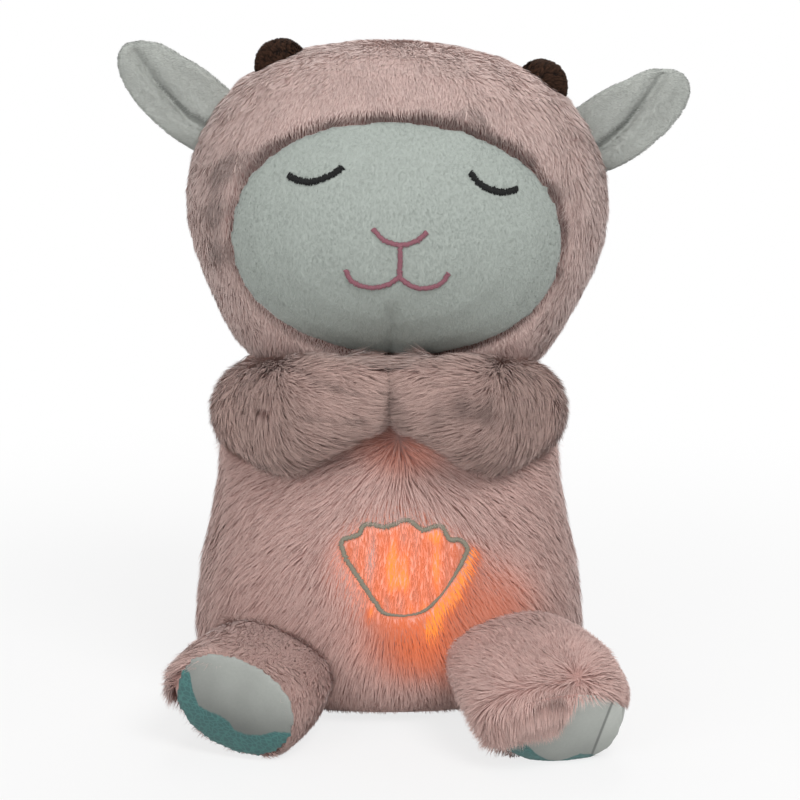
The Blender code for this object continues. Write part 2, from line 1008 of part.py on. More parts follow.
def housing_screw_places():
    """(x, z) of the four housing screws."""
    low, high = module_bottom + screw_inset, module_top - screw_inset
    return [(s * screw_across, z) for z in (low, high) for s in (-1, 1)]


def make_front_housing():
    low = (-module_half_width, -module_front, module_bottom)
    high = (module_half_width, -module_split, module_top)
    shell = block("front_housing", low, high, white_plastic(), corner=module_corner)
    wall = module_wall
    room = block(
        "front_housing_room",
        (low[0] + wall, low[1] + wall, low[2] + wall),
        (high[0] - wall, high[1] + overrun, high[2] - wall),
        white_plastic(),
        corner=module_corner - wall,
    )
    cut(shell, room)
    for k, (x, z) in enumerate(housing_screw_places()):
        start, end = (x, -module_front + wall / 2, z), (x, -module_split, z)
        join(shell, rod(f"front_boss_{k}", start, end, boss_radius, white_plastic(), sides=bore_sides))
        deep = (x, -module_split - screw_reach - fit_gap, z)
        out = (x, -module_split + overrun, z)
        cut(shell, rod(f"front_pilot_{k}", deep, out, screw_radius + fit_gap, steel(), sides=screw_sides))
    front = -module_front
    for k, side in enumerate((-1, 1)):
        x = side * guide_across
        sleeve_end = front + wall + guide_sleeve
        start, end = (x, front + wall / 2, belly_height), (x, sleeve_end, belly_height)
        outer = guide_radius + fit_gap + guide_collar
        join(shell, rod(f"guide_sleeve_{k}", start, end, outer, white_plastic(), sides=guide_sides))
        start, end = (x, front - overrun, belly_height), (x, sleeve_end + overrun, belly_height)
        bore = guide_radius + fit_gap
        cut(shell, rod(f"guide_bore_{k}", start, end, bore, white_plastic(), sides=guide_sides))
    half = cam_half_width + cheek_thickness + gear_step + fit_gap
    high_z = cheek_half_height + fit_gap * 2
    window = block(
        "follower_window",
        (-half, front - overrun, belly_height - high_z),
        (half, front + wall + overrun, belly_height + high_z),
        white_plastic(),
    )
    return cut(shell, window)


def cell_height(k):
    return bay_bottom + cell_radius + fit_gap + k * cell_pitch


def bay_top():
    return cell_height(cell_count - 1) + cell_radius + fit_gap


def slide_height():
    """Height of the slide switch, under the module's top."""
    return module_top - slide_inset


def speaker_height():
    """The speaker sits midway between the battery door and the housing's top wall."""
    return (bay_top() + door_top_lap + module_top - module_wall) / 2


def make_rear_housing():
    back = -module_back
    start = -module_split + fit_gap
    low = (-module_half_width, start, module_bottom)
    high = (module_half_width, back, module_top)
    shell = block("rear_housing", low, high, white_plastic(), corner=module_corner)
    bay = block(
        "cell_bay",
        (-bay_half_width, -bay_floor, bay_bottom),
        (bay_half_width, back + overrun, bay_top()),
        white_plastic(),
    )
    rebate = block(
        "door_rebate",
        (-bay_half_width - door_lap, back - door_thickness, bay_bottom - door_lap / 2),
        (bay_half_width + door_lap, back + overrun, bay_top() + door_top_lap),
        white_plastic(),
    )
    cut(shell, bay, rebate)
    for k, (x, z) in enumerate(housing_screw_places()):
        through = (x, start - overrun, z), (x, back + overrun, z)
        cut(shell, rod(f"rear_hole_{k}", *through, screw_radius + fit_gap, steel(), sides=screw_sides))
        bore = (x, back - counterbore_depth, z), (x, back + overrun, z)
        head_room = screw_head_radius + fit_gap
        cut(shell, rod(f"rear_counterbore_{k}", *bore, head_room, steel(), sides=screw_sides))
    middle = speaker_height()
    room = (0, start - overrun, middle), (0, back - module_wall, middle)
    cut(shell, rod("speaker_room", *room, speaker_radius + fit_gap, steel(), sides=speaker_sides))
    for k in range(grille_slots):
        x = (k - (grille_slots - 1) / 2) * grille_slot_pitch
        reach = grille_half_height * math.cos(x / speaker_radius)
        slot = block(
            f"grille_slot_{k}",
            (x - grille_slot_width / 2, back - module_wall - overrun, middle - reach),
            (x + grille_slot_width / 2, back + overrun, middle + reach),
            steel(),
        )
        cut(shell, slot)
    return cut(shell, *control_rooms(start, back))


def control_rooms(start, back):
    """Cutters for the slide switch and the two buttons in the rear housing."""
    rooms = []
    half = slide_knob_half_width + slide_travel + fit_gap
    tall = slide_knob_half_height + fit_gap
    rooms.append(
        block(
            "slide_slot",
            (slide_across - half, back - module_wall - overrun, slide_height() - tall),
            (slide_across + half, back + overrun, slide_height() + tall),
            steel(),
        )
    )
    half = slide_body_half_width + fit_gap
    tall = slide_body_half_height + fit_gap
    rooms.append(
        block(
            "slide_room",
            (slide_across - half, start - overrun, slide_height() - tall),
            (slide_across + half, back - module_wall, slide_height() + tall),
            steel(),
        )
    )
    for k, z in enumerate(button_heights):
        place = (button_across, start - overrun, z)
        hole = button_radius + fit_gap
        wide = hole + button_flange
        depth = back - module_wall - start + overrun
        out = depth + module_wall + overrun
        profile = ((0, 0), (0, wide), (depth, wide), (depth, hole), (out, hole), (out, 0))
        rooms.append(turned(f"button_room_{k}", profile, place, (0, 1, 0), steel()))
    return rooms


def make_housing_screws():
    """Four screws that hold the two housing shells together."""
    seat = -module_back - counterbore_depth
    for k, (x, z) in enumerate(housing_screw_places()):
        tip = -module_split - screw_reach
        profile = (
            (0, 0),
            (0, screw_radius),
            (seat + fit_gap - tip, screw_radius),
            (seat + fit_gap - tip, screw_head_radius),
            (seat + fit_gap - tip + screw_head_height, screw_head_radius),
            (seat + fit_gap - tip + screw_head_height, 0),
        )
        turned(f"housing_screw_{k + 1}", profile, (x, tip, z), (0, 1, 0), steel(), sides=screw_sides)


def make_battery_door():
    back = -module_back
    half = bay_half_width + door_lap - fit_gap
    door = block(
        "battery_door",
        (-half, back - door_thickness + fit_gap, bay_bottom - door_lap / 2 + fit_gap),
        (half, back, bay_top() + door_top_lap - fit_gap),
        white_plastic(),
    )
    z = bay_top() + door_top_lap / 2
    head_depth = screw_head_height / 2
    deep = (0, back - door_thickness - door_screw_reach, z)
    out = (0, back + overrun, z)
    gap = door_screw_radius + fit_gap
    cut(door, rod("door_hole", deep, out, gap, steel(), sides=screw_sides))
    sunk = (0, back - head_depth, z), out
    cut(door, rod("door_counterbore", *sunk, door_head_radius + fit_gap, steel(), sides=screw_sides))
    rear = bpy.data.objects["rear_housing"]
    cut(rear, rod("door_pilot", deep, out, gap, steel(), sides=screw_sides))
    shank = door_thickness + door_screw_reach - head_depth
    profile = (
        (fit_gap, 0),
        (fit_gap, door_screw_radius),
        (shank + fit_gap, door_screw_radius),
        (shank + fit_gap, door_head_radius),
        (shank + head_depth, door_head_radius),
        (shank + head_depth, 0),
    )
    turned("battery_door_screw", profile, deep, (0, 1, 0), steel(), sides=screw_sides)


def make_cells():
    """Three cells that lie head to tail, between two contact plates."""
    y = -bay_floor + cell_radius + fit_gap
    cell = material("cell jacket", (0.16, 0.20, 0.24), 0.4, 0.3)
    for k in range(cell_count):
        side = -1 if k % 2 else 1
        z = cell_height(k)
        shell = cell_length - cell_nub_length
        profile = (
            (0, 0),
            (0, cell_radius),
            (shell, cell_radius),
            (shell, cell_nub_radius),
            (cell_length, cell_nub_radius),
            (cell_length, 0),
        )
        start = (-side * cell_length / 2, y, z)
        turned(f"battery_{k + 1}", profile, start, (side, 0, 0), cell)
    end = bay_half_width - fit_gap
    tall = bay_top() - fit_gap
    for name, side in (("left_contact", -1), ("right_contact", 1)):
        inner = side * (end - contact_thickness)
        outer = side * end
        block(
            name,
            (min(inner, outer), -bay_floor + fit_gap, bay_bottom + fit_gap),
            (max(inner, outer), -bay_floor + cell_radius * 2, tall),
            nickel(),
        )
    for k in range(cell_count):
        side = 1 if k % 2 else -1
        x = side * (end - contact_thickness - fit_gap - contact_wire)
        length = end - contact_thickness - cell_length / 2 - 2 * (fit_gap + contact_wire)
        wide, narrow = cell_radius * contact_wide_share, cell_radius * contact_narrow_share
        start = (x, y, cell_height(k))
        size = (length, wide, narrow, contact_spring_turns, contact_wire)
        coil(f"contact_spring_{k + 1}", start, (-side, 0, 0), *size, nickel())


# Mechanism


def compound_height():
    return belly_height - gear_module * (cam_gear_teeth + small_teeth) / 2


def pinion_height():
    return compound_height() - gear_module * (wheel_teeth + pinion_teeth) / 2


def gear_outline(teeth, height, start_angle):
    """An involute gear's outline in Y and Z about its axis, with a tooth at the start angle."""
    pitch = gear_module * teeth / 2
    base = pitch * math.cos(math.radians(pressure_angle))
    top = pitch + gear_module * addendum_share
    root = max(pitch - gear_module * dedendum_share, base * root_share)
    half = (math.pi * gear_module / 2 - tooth_gap) / 2 / pitch

    def involute(radius):
        turn = math.sqrt(max((radius / base) ** 2 - 1, 0))
        return turn - math.atan(turn)

    radii = [max(base, root), pitch, top]
    flank = [(r, half + involute(pitch) - involute(r)) for r in radii if r >= base]
    flank.insert(0, (root, flank[0][1]))
    points = []
    for k in range(teeth):
        middle = start_angle + 2 * math.pi * k / teeth
        around = [(r, middle - a) for r, a in flank] + [(r, middle + a) for r, a in flank[::-1]]
        for r, a in around:
            points.append((gear_axis_y + r * math.cos(a), height + r * math.sin(a)))
    return points


def cam_outline():
    """A heart whose radius grows evenly with angle over half a turn, less the roller's radius."""
    lift = breath_travel / math.pi
    points = []
    for k in range(2 * cam_steps):
        turn = math.pi * k / cam_steps
        radius = cam_least_radius + lift * min(turn, 2 * math.pi - turn)
        angle = math.pi + turn
        y = gear_axis_y + radius * math.cos(angle)
        points.append((y, belly_height + radius * math.sin(angle)))
    return points


def gear_places():
    """Where the cam, its gear and the second stage begin and end along X."""
    cam_gear_start = cam_half_width + hub_length
    wheel_start = cam_gear_start + gear_width + gear_step
    return cam_gear_start, wheel_start


def make_gears(cam_pivot, compound_pivot, pinion_pivot):
    """Pinion, two-stage gear, and the last gear with the heart cam moulded to it."""
    cam_start, wheel_start = gear_places()
    up, down = math.pi / 2, -math.pi / 2
    y = gear_axis_y

    cam_gear = slab(
        "cam_gear",
        gear_outline(cam_gear_teeth, belly_height, down + math.pi / cam_gear_teeth),
        cam_start,
        cam_start + gear_width,
        gear_plastic(),
        cam_pivot,
    )
    cam = slab("cam", cam_outline(), -cam_half_width, cam_half_width, gear_plastic(), cam_pivot)
    hub = rod(
        "cam_hub",
        (0, y, belly_height),
        (cam_start + gear_width / 2, y, belly_height),
        hub_radius,
        gear_plastic(),
        cam_pivot,
    )
    join(cam_gear, hub, cam)
    reach = (-cam_half_width - overrun, y, belly_height), (wheel_start, y, belly_height)
    cut(cam_gear, rod("cam_bore", *reach, shaft_radius + running_gap, steel(), cam_pivot, bore_sides))

    z = compound_height()
    wheel = slab(
        "compound_gear",
        gear_outline(wheel_teeth, z, down + math.pi / wheel_teeth),
        wheel_start,
        wheel_start + gear_width,
        gear_plastic(),
        compound_pivot,
    )
    small = slab(
        "compound_small",
        gear_outline(small_teeth, z, up),
        cam_start,
        wheel_start + gear_width / 2,
        gear_plastic(),
        compound_pivot,
    )
    join(wheel, small)
    reach = (cam_start - overrun, y, z), (wheel_start + gear_width + overrun, y, z)
    radius = compound_shaft_radius + running_gap
    cut(wheel, rod("compound_bore", *reach, radius, steel(), compound_pivot, bore_sides))

    z = pinion_height()
    pinion = slab(
        "motor_pinion",
        gear_outline(pinion_teeth, z, up),
        wheel_start,
        wheel_start + gear_width,
        gear_plastic(),
        pinion_pivot,
    )
    reach = (wheel_start - overrun, y, z), (wheel_start + gear_width + overrun, y, z)
    radius = motor_shaft_radius + running_gap
    cut(pinion, rod("pinion_bore", *reach, radius, steel(), pinion_pivot, bore_sides))


def make_shafts():
    y = gear_axis_y
    left = frame_left + fit_gap
    right = frame_right + frame_thickness - fit_gap
    for name, z, radius in (
        ("cam_shaft", belly_height, shaft_radius),
        ("compound_shaft", compound_height(), compound_shaft_radius),
    ):
        rod(name, (left, y, z), (right, y, z), radius, steel(), sides=screw_sides)


def motor_span():
    """Where the motor's can, gearbox and shaft begin and end along X."""
    shaft_end = gear_places()[1] + gear_width
    box_end = gear_places()[0] + gear_width - gear_step
    box_start = box_end - gearbox_length
    return box_start - motor_length, box_start, box_end, shaft_end


def make_motor():
    y, z = gear_axis_y, pinion_height()
    can_start, box_start, box_end, shaft_end = motor_span()
    half_z, half_y = motor_width / 2, motor_height / 2
    can_z, can_y = half_z * motor_can_share, half_y * motor_can_share
    motor = block(
        "gear_motor",
        (box_start, y - half_y, z - half_z),
        (box_end, y + half_y, z + half_z),
        steel(),
    )
    outline = []
    for k in range(motor_sides):
        angle = 2 * math.pi * (k + 0.5) / motor_sides
        depth = max(min(half_z * math.cos(angle), can_y), -can_y)
        outline.append((y + depth, z + can_z * math.sin(angle)))
    can = slab("motor_can", outline, can_start, box_start + overrun / 2, steel())
    reach = (box_end - overrun / 2, y, z), (shaft_end, y, z)
    shaft = rod("motor_shaft", *reach, motor_shaft_radius, steel(), sides=screw_sides)
    return join(motor, can, shaft)


def make_frame():
    """A channel whose two cheeks carry the shafts and the motor."""
    y = gear_axis_y
    low = (frame_left, -frame_front, frame_bottom)
    high = (frame_right + frame_thickness, -frame_back + frame_thickness, frame_top)
    frame = block("mechanism_frame", low, high, grey_plastic())
    room = block(
        "frame_room",
        (frame_left + frame_thickness, -frame_front - overrun, frame_bottom - overrun),
        (frame_right, -frame_back, frame_top + overrun),
        grey_plastic(),
    )
    cut(frame, room)
    gap = running_gap
    for name, z, radius in (
        ("cam_shaft_hole", belly_height, shaft_radius + gap),
        ("compound_shaft_hole", compound_height(), compound_shaft_radius + gap),
    ):
        reach = (frame_left - overrun, y, z), (frame_right + frame_thickness + overrun, y, z)
        cut(frame, rod(name, *reach, radius, steel(), sides=screw_sides))
    z = pinion_height()
    half_z, half_y = motor_width / 2 + fit_gap, motor_height / 2 + fit_gap
    seat = block(
        "motor_seat",
        (frame_left - overrun, y - half_y, z - half_z),
        (frame_left + frame_thickness + overrun, y + half_y, z + half_z),
        steel(),
    )
    return cut(frame, seat)


def plate_front():
    return -module_front - plate_rest_gap - plate_thickness


def roller_y():
    return gear_axis_y - cam_least_radius - roller_radius - fit_gap


def make_push_plate(carrier):
    """A disc with two guide posts, and two cheeks that hold the follower's roller."""
    front = plate_front()
    plate = rod(
        "push_plate",
        (0, front, belly_height),
        (0, front + plate_thickness, belly_height),
        plate_radius,
        white_plastic(),
        carrier,
        plate_sides,
    )
    inner = cam_half_width + gear_step
    for k, side in enumerate((-1, 1)):
        start = (side * guide_across, front + plate_thickness / 2, belly_height)
        whole = plate_thickness / 2 + guide_reach
        groove = whole - 2 * clip_thickness
        waist = guide_radius - fit_gap
        profile = (
            (0, 0),
            (0, guide_radius),
            (groove - fit_gap, guide_radius),
            (groove - fit_gap, waist),
            (groove + clip_thickness + fit_gap, waist),
            (groove + clip_thickness + fit_gap, guide_radius),
            (whole, guide_radius),
            (whole, 0),
        )
        post = turned(f"guide_post_{k}", profile, start, (0, 1, 0), white_plastic(), carrier)
        join(plate, post)
        a, b = side * inner, side * (inner + cheek_thickness)
        cheek = block(
            f"follower_cheek_{k}",
            (min(a, b), front + plate_thickness / 2, belly_height - cheek_half_height),
            (max(a, b), roller_y() + cheek_end, belly_height + cheek_half_height),
            white_plastic(),
            carrier,
        )
        join(plate, cheek)
    y = roller_y()
    reach = inner + cheek_thickness
    hole = (-reach - overrun, y, belly_height), (reach + overrun, y, belly_height)
    cut(plate, rod("roller_pin_hole", *hole, roller_pin_radius + running_gap, steel(), carrier, bore_sides))
    ends = (-reach, y, belly_height), (reach, y, belly_height)
    rod("roller_pin", *ends, roller_pin_radius, steel(), carrier, bore_sides)
    half = cam_half_width
    bore = roller_pin_radius + running_gap
    profile = ((0, bore), (0, roller_radius), (2 * half, roller_radius), (2 * half, bore))
    start = (-half, y, belly_height)
    along = (1, 0, 0)
    turned("follower_roller", profile, start, along, gear_plastic(), carrier, guide_sides)
    return plate


def make_guides(carrier):
    """The clip on each guide post and the spring between it and the sleeve."""
    end = plate_front() + plate_thickness + guide_reach
    sleeve_end = -module_front + module_wall + guide_sleeve
    for name, side in (("left", -1), ("right", 1)):
        x = side * guide_across
        start = end - 2 * clip_thickness
        bore = guide_radius
        clip = (
            (start, bore),
            (start, clip_radius),
            (start + clip_thickness, clip_radius),
            (start + clip_thickness, bore),
        )
        turned(f"{name}_guide_clip", clip, (x, 0, belly_height), (0, 1, 0), steel(), carrier)
        low = sleeve_end + fit_gap + spring_wire
        high = start - fit_gap - spring_wire
        radius = guide_radius + fit_gap + spring_wire * 2
        size = (high - low, radius, radius, spring_turns, spring_wire)
        coil(f"{name}_return_spring", (x, low, belly_height), (0, 1, 0), *size, steel())


def make_light(carrier, button):
    """Foam ring, light board with lamps and switch, and the dome that presses it."""
    front = plate_front()
    foam = material("white foam", (0.70, 0.68, 0.64), 0.95)
    board = material("light board", (0.75, 0.76, 0.74), 0.5)
    lamp = material("lamp", (0.85, 0.55, 0.20), 0.3, glow=(1.0, 0.45, 0.1))
    depth = belly_inner_plane + front - 2 * fit_gap
    start = (0, front - fit_gap, belly_height)
    ring = ((0, foam_bore), (0, foam_radius), (depth, foam_radius), (depth, foam_bore))
    turned("foam_ring", ring, start, (0, -1, 0), foam, carrier, plate_sides)
    top = front - fit_gap - board_thickness
    rod("light_board", start, (0, top, belly_height), board_radius, board, carrier, lamp_board_sides)
    for k in range(lamp_count):
        angle = 2 * math.pi * (k / lamp_count + lamp_turn_share)
        x, z = lamp_ring * math.cos(angle), belly_height + lamp_ring * math.sin(angle)
        half = lamp_size / 2
        block(
            f"lamp_{k + 1}",
            (x - half, top - fit_gap - lamp_height, z - half),
            (x + half, top - fit_gap, z + half),
            lamp,
            carrier,
        )
    half = switch_size / 2
    switch_top = top - fit_gap - switch_height
    switch = block(
        "dome_switch",
        (-half, switch_top, belly_height - half),
        (half, top - fit_gap, belly_height + half),
        grey_plastic(),
        carrier,
    )
    stem_end = (0, switch_top - switch_stem_height, belly_height)
    stem_start = (0, switch_top + switch_height / 2, belly_height)
    join(switch, rod("switch_stem", stem_start, stem_end, switch_stem, grey_plastic(), carrier, bore_sides))
    make_dome(button, top)


def make_dome(button, board_top):
    """A hollow lens with a flange that the foam's bore guides, and a post over the switch."""
    clear = material("frosted dome", (0.90, 0.80, 0.70), 0.35, glow=(1.0, 0.5, 0.2))
    flange = board_top - fit_gap - dome_press
    apex = -belly_inner_plane + fit_gap
    rise = flange - dome_flange_thickness - apex
    profile = [(0, dome_radius - dome_wall), (0, dome_flange), (dome_flange_thickness, dome_flange)]
    for k in range(dome_steps):
        angle = math.pi / 2 * k / dome_steps
        far = dome_flange_thickness + rise * math.sin(angle)
        profile.append((far, dome_radius * math.cos(angle)))
    profile.append((dome_flange_thickness + rise, 0))
    profile.append((dome_flange_thickness + rise - dome_wall, 0))
    for k in range(dome_steps - 1, -1, -1):
        angle = math.pi / 2 * k / dome_steps
        far = dome_flange_thickness + (rise - dome_wall) * math.sin(angle)
        profile.append((far, (dome_radius - dome_wall) * math.cos(angle)))
    start = (0, flange, belly_height)
    dome = shell_of_turning("light_dome", profile, start, clear, button)
    stem_top = board_top - fit_gap - switch_height - switch_stem_height
    post = rod(
        "dome_post",
        (0, stem_top - dome_press - fit_gap, belly_height),
        (0, apex + dome_wall / 2, belly_height),
        switch_stem,
        clear,
        button,
        bore_sides,
    )
    return join(dome, post)


def shell_of_turning(name, profile, place, finish, carrier):
    """A turned dome with a hollow: two tips on the axis and a rim between them."""
    sides = speaker_sides
    along = Vector((0, -1, 0))
    points, faces, rows = [], [], []
    for far, radius in profile:
        centre = Vector(place) + along * far
        rows.append(len(points))
        if radius == 0:
            points.append(centre)
            continue
        for k in range(sides):
            angle = 2 * math.pi * k / sides
            spoke = Vector((math.cos(angle), 0, math.sin(angle)))
            points.append(centre + spoke * radius)
    count = len(profile)
    for i in range(count):
        j = (i + 1) % count
        first, second = profile[i][1], profile[j][1]
        if first == 0 and second == 0:
            continue
        a, b = rows[i], rows[j]
        for k in range(sides):
            n = (k + 1) % sides
            if first == 0:
                faces.append((a, b + n, b + k))
            elif second == 0:
                faces.append((a + k, b, a + n))
            else:
                faces.append((a + k, b + k, b + n, a + n))
    return mesh_piece(name, points, faces, finish, carrier)


def make_board():
    y = -frame_back + frame_thickness + pcb_behind_frame
    green = material("circuit board", (0.03, 0.16, 0.07), 0.5)
    low = (-pcb_half_width, y, pcb_bottom)
    block("circuit_board", low, (pcb_half_width, y + pcb_thickness, pcb_top), green)


def make_speaker():
    """A basket with its magnet, and the cone in its mouth, facing the grille."""
    back = -module_back - module_wall - fit_gap
    rim = speaker_rim
    seat = speaker_depth * cone_seat_share
    cone_back = speaker_depth * cone_back_share
    profile = [
        (0, speaker_radius - rim),
        (0, speaker_radius),
        (speaker_depth * basket_straight_share, speaker_radius),
        (speaker_depth * basket_back_share, magnet_radius + rim),
        (speaker_depth * basket_back_share, magnet_radius),
        (speaker_depth, magnet_radius),
        (speaker_depth, 0),
        (cone_back, 0),
        (cone_back, cone_cap_radius),
        (seat, speaker_radius - rim),
    ]
    place = (0, back, speaker_height())
    turned_ring("speaker_frame", profile, place, (0, -1, 0), steel())
    cone = material("speaker cone", (0.03, 0.03, 0.03), 0.8)
    reach = speaker_radius - rim - fit_gap
    profile = [
        (rim, reach - rim),
        (rim, reach),
        (seat - fit_gap, reach),
        (cone_back - fit_gap, cone_cap_radius),
        (cone_back - fit_gap, 0),
        (speaker_depth * cone_face_share, 0),
        (speaker_depth * cone_slope_share, cone_cap_radius),
    ]
    turned_ring("speaker_cone", profile, place, (0, -1, 0), cone)


def turned_ring(name, profile, place, facing, finish):
    """A turned solid whose outline touches the axis along one stretch and closes on itself."""
    start = next(k for k in range(len(profile)) if profile[k][1] == 0 and profile[k - 1][1] > 0)
    order = profile[start + 1 :] + profile[: start + 1]
    return turned(name, tuple(order), place, facing, finish, sides=speaker_sides)


def make_controls(slide_pivot, button_pivots):
    """The slide switch with its knob, and the two push buttons."""
    back = -module_back
    wall_in = back - module_wall
    block(
        "slide_switch",
        (
            slide_across - slide_body_half_width,
            wall_in - fit_gap - slide_body_depth,
            slide_height() - slide_body_half_height,
        ),
        (
            slide_across + slide_body_half_width,
            wall_in - fit_gap,
            slide_height() + slide_body_half_height,
        ),
        steel(),
    )
    block(
        "slide_knob",
        (
            slide_across - slide_knob_half_width,
            wall_in,
            slide_height() - slide_knob_half_height,
        ),
        (
            slide_across + slide_knob_half_width,
            back + slide_knob_reach,
            slide_height() + slide_knob_half_height,
        ),
        grey_plastic(),
        slide_pivot,
    )
    for name, z, carrier in zip(("play_button", "volume_button"), button_heights, button_pivots):
        inner = wall_in - fit_gap
        profile = (
            (-button_stem, 0),
            (-button_stem, button_radius),
            (-button_flange, button_radius),
            (-button_flange, button_radius + button_flange),
            (0, button_radius + button_flange),
            (0, button_radius),
            (back + button_reach - inner, button_radius),
            (back + button_reach - inner, 0),
        )
        place = (button_across, inner, z)
        turned(name, profile, place, (0, 1, 0), grey_plastic(), carrier)


def main():
    clear_scene()
    head_tilt = pivot("head_tilt", (0, 0, neck_height))
    ear_pivots = [
        pivot(f"{name}_ear_pivot", ear_axes(side)[0], head_tilt)
        for name, side in (("left", -1), ("right", 1))
    ]
    arm_pivots = [
        pivot(
            f"{name}_arm_pivot",
            (side * shoulder_across, -shoulder_forward, shoulder_height),
        )
        for name, side in (("left", -1), ("right", 1))
    ]
    y = gear_axis_y
    flap_pivot = pivot("flap_pivot", (0, flap_hinge_y(), flap_top))
    plate_pivot = pivot("plate_pivot", (0, plate_front(), belly_height))
    dome_pivot = pivot("dome_pivot", (0, -belly_inner_plane, belly_height), plate_pivot)
    cam_pivot = pivot("cam_pivot", (0, y, belly_height))
    compound_pivot = pivot("compound_pivot", (0, y, compound_height()))
    pinion_pivot = pivot("pinion_pivot", (0, y, pinion_height()))
    slide_pivot = pivot("slide_pivot", (slide_across, -module_back, slide_height()))
    button_pivots = [
        pivot(f"button_pivot_{k}", (button_across, -module_back, z))
        for k, z in enumerate(button_heights)
    ]

    body = make_body()
    head = make_head(head_tilt)
    face = make_face(head_tilt)
    horns = [make_horn("left_horn", -1, head_tilt), make_horn("right_horn", 1, head_tilt)]
    ears = [
        make_ear("left_ear", -1, ear_pivots[0]),
        make_ear("right_ear", 1, ear_pivots[1]),
    ]
    arms = [
        make_arm("left_arm", -1, arm_pivots[0]),
        make_arm("right_arm", 1, arm_pivots[1]),
    ]
    legs = [
        make_leg("left", -1, left_sole_place, left_sole_facing, left_leg_roll_angle),
        make_leg("right", 1, right_sole_place, right_sole_facing, right_leg_roll_angle),
    ]
    head_tilt.rotation_euler.y = math.radians(head_tip_angle)

    body_room = grown(body, seam_gap)
    head_room = grown(head, seam_gap)
    face_room = grown(face, face_gap)
    make_belly_panel(body, plate_pivot)
    for ear, side, carrier in zip(ears, (-1, 1), ear_pivots):
        cut(head, ear_groove(ear.name + "_groove", side, carrier))
    cut(head, body_room, face_room)
    cut(face, body_room)
    for horn in horns:
        cut(horn, head_room)
    for arm, side in zip(arms, (-1, 1)):
        cut(head, shoulder_ball(arm.name + "_head_room", side, seam_gap))
        cut(body, shoulder_ball(arm.name + "_room", side, seam_gap))
    for leg in legs:
        cut(leg, body_room)
    for arm, side in zip(arms, (-1, 1)):
        trim_arm(arm, paw_parting(side), body_room, head_room, face_room)

    opening = rod(
        "belly_opening",
        (0, -module_front, belly_height),
        (0, -body_front - overrun, belly_height),
        belly_radius + seam_gap,
        lining(),
        sides=body_sides,
    )
    cut(body, pocket_room(), opening)
    make_flap(body, flap_pivot)
    ground = block(
        "ground",
        (-body_half_width, -body_front, -base_cut - overrun),
        (body_half_width, body_back, 0),
        lining(),
    )
    cut(body, ground)

    make_front_housing()
    make_rear_housing()
    make_housing_screws()
    make_battery_door()
    make_cells()
    make_gears(cam_pivot, compound_pivot, pinion_pivot)
    make_shafts()
    make_motor()
    make_frame()
    make_push_plate(plate_pivot)
    make_guides(plate_pivot)
    make_light(plate_pivot, dome_pivot)
    make_board()
    make_speaker()
    make_controls(slide_pivot, button_pivots)


def paw_parting(side):
    """The space beyond the plane in which the two paws are pressed together."""
    near, far = -side * -paw_gap / 2, -side * shoulder_across
    low = Vector((min(near, far), -paw_forward * 2, shoulder_height - arm_half_height * 2))
    high = Vector((max(near, far), 0, neck_height + arm_half_height * 2))
    return block("paw_parting", low, high, lining())


def trim_arm(arm, *rooms):
    """Trim the forearm to the forms behind it, and leave the shoulder's ball whole."""
    ball = arm.modifiers[0]
    arm.modifiers.remove(ball)
    cut(arm, *rooms)
    join(arm, bpy.data.objects[arm.name + "_ball"])


def flap_hinge_y():
    """How far back the torso's skin lies at the flap's top edge."""
    rows = smooth_rows(body_shares, hinge_steps)
    reached = [row for row in rows if row[0] * body_height - base_cut <= flap_top]
    return reached[-1][3] * body_back


def pocket_room():
    """The pocket in the stuffing that holds the module."""
    return block(
        "module_pocket",
        (
            -module_half_width - pocket_gap,
            -module_front - pocket_gap,
            module_bottom - pocket_gap,
        ),
        (module_half_width + pocket_gap, body_back + overrun, module_top + pocket_gap),
        lining(),
        corner=module_corner,
    )


main()
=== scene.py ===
"""Dresses the plush lamb in fur, velvet and stitching, and gives its module its finishes.

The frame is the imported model. The fur is made of fine ribbons that grow from remeshed skins,
and each soft piece stands in for the CAD solids whose form it takes.
"""

import json
import math

import bpy
import numpy as np
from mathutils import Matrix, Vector
from mathutils.bvhtree import BVHTree
from mathutils.kdtree import KDTree

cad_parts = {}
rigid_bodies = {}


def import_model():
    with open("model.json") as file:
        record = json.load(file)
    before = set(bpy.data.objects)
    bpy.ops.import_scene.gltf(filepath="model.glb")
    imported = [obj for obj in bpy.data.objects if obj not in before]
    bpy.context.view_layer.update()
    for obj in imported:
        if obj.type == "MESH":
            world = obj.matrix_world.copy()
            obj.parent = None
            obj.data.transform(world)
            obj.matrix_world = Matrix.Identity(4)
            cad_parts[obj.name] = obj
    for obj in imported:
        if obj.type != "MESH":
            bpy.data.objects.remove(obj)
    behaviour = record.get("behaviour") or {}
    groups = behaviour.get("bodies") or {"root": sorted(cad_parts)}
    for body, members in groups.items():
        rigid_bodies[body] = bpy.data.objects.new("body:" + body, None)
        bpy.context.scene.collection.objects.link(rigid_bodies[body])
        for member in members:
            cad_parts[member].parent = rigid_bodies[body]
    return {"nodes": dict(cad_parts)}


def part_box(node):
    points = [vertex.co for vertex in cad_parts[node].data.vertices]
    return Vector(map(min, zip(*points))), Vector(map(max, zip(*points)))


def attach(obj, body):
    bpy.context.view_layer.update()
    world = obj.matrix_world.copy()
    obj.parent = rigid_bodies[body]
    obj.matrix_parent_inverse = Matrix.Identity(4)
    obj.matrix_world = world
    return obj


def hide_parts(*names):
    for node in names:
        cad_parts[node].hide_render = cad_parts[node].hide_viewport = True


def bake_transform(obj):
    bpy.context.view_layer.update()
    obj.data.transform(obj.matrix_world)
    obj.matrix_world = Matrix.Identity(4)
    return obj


bl_info = {
    "name": "Plush lamb",
    "version": (1, 0, 0),
    "blender": (4, 5, 0),
    "location": "3D View > Sidebar > Lamb",
    "description": "Dresses the plush lamb and its module",
    "category": "Object",
}

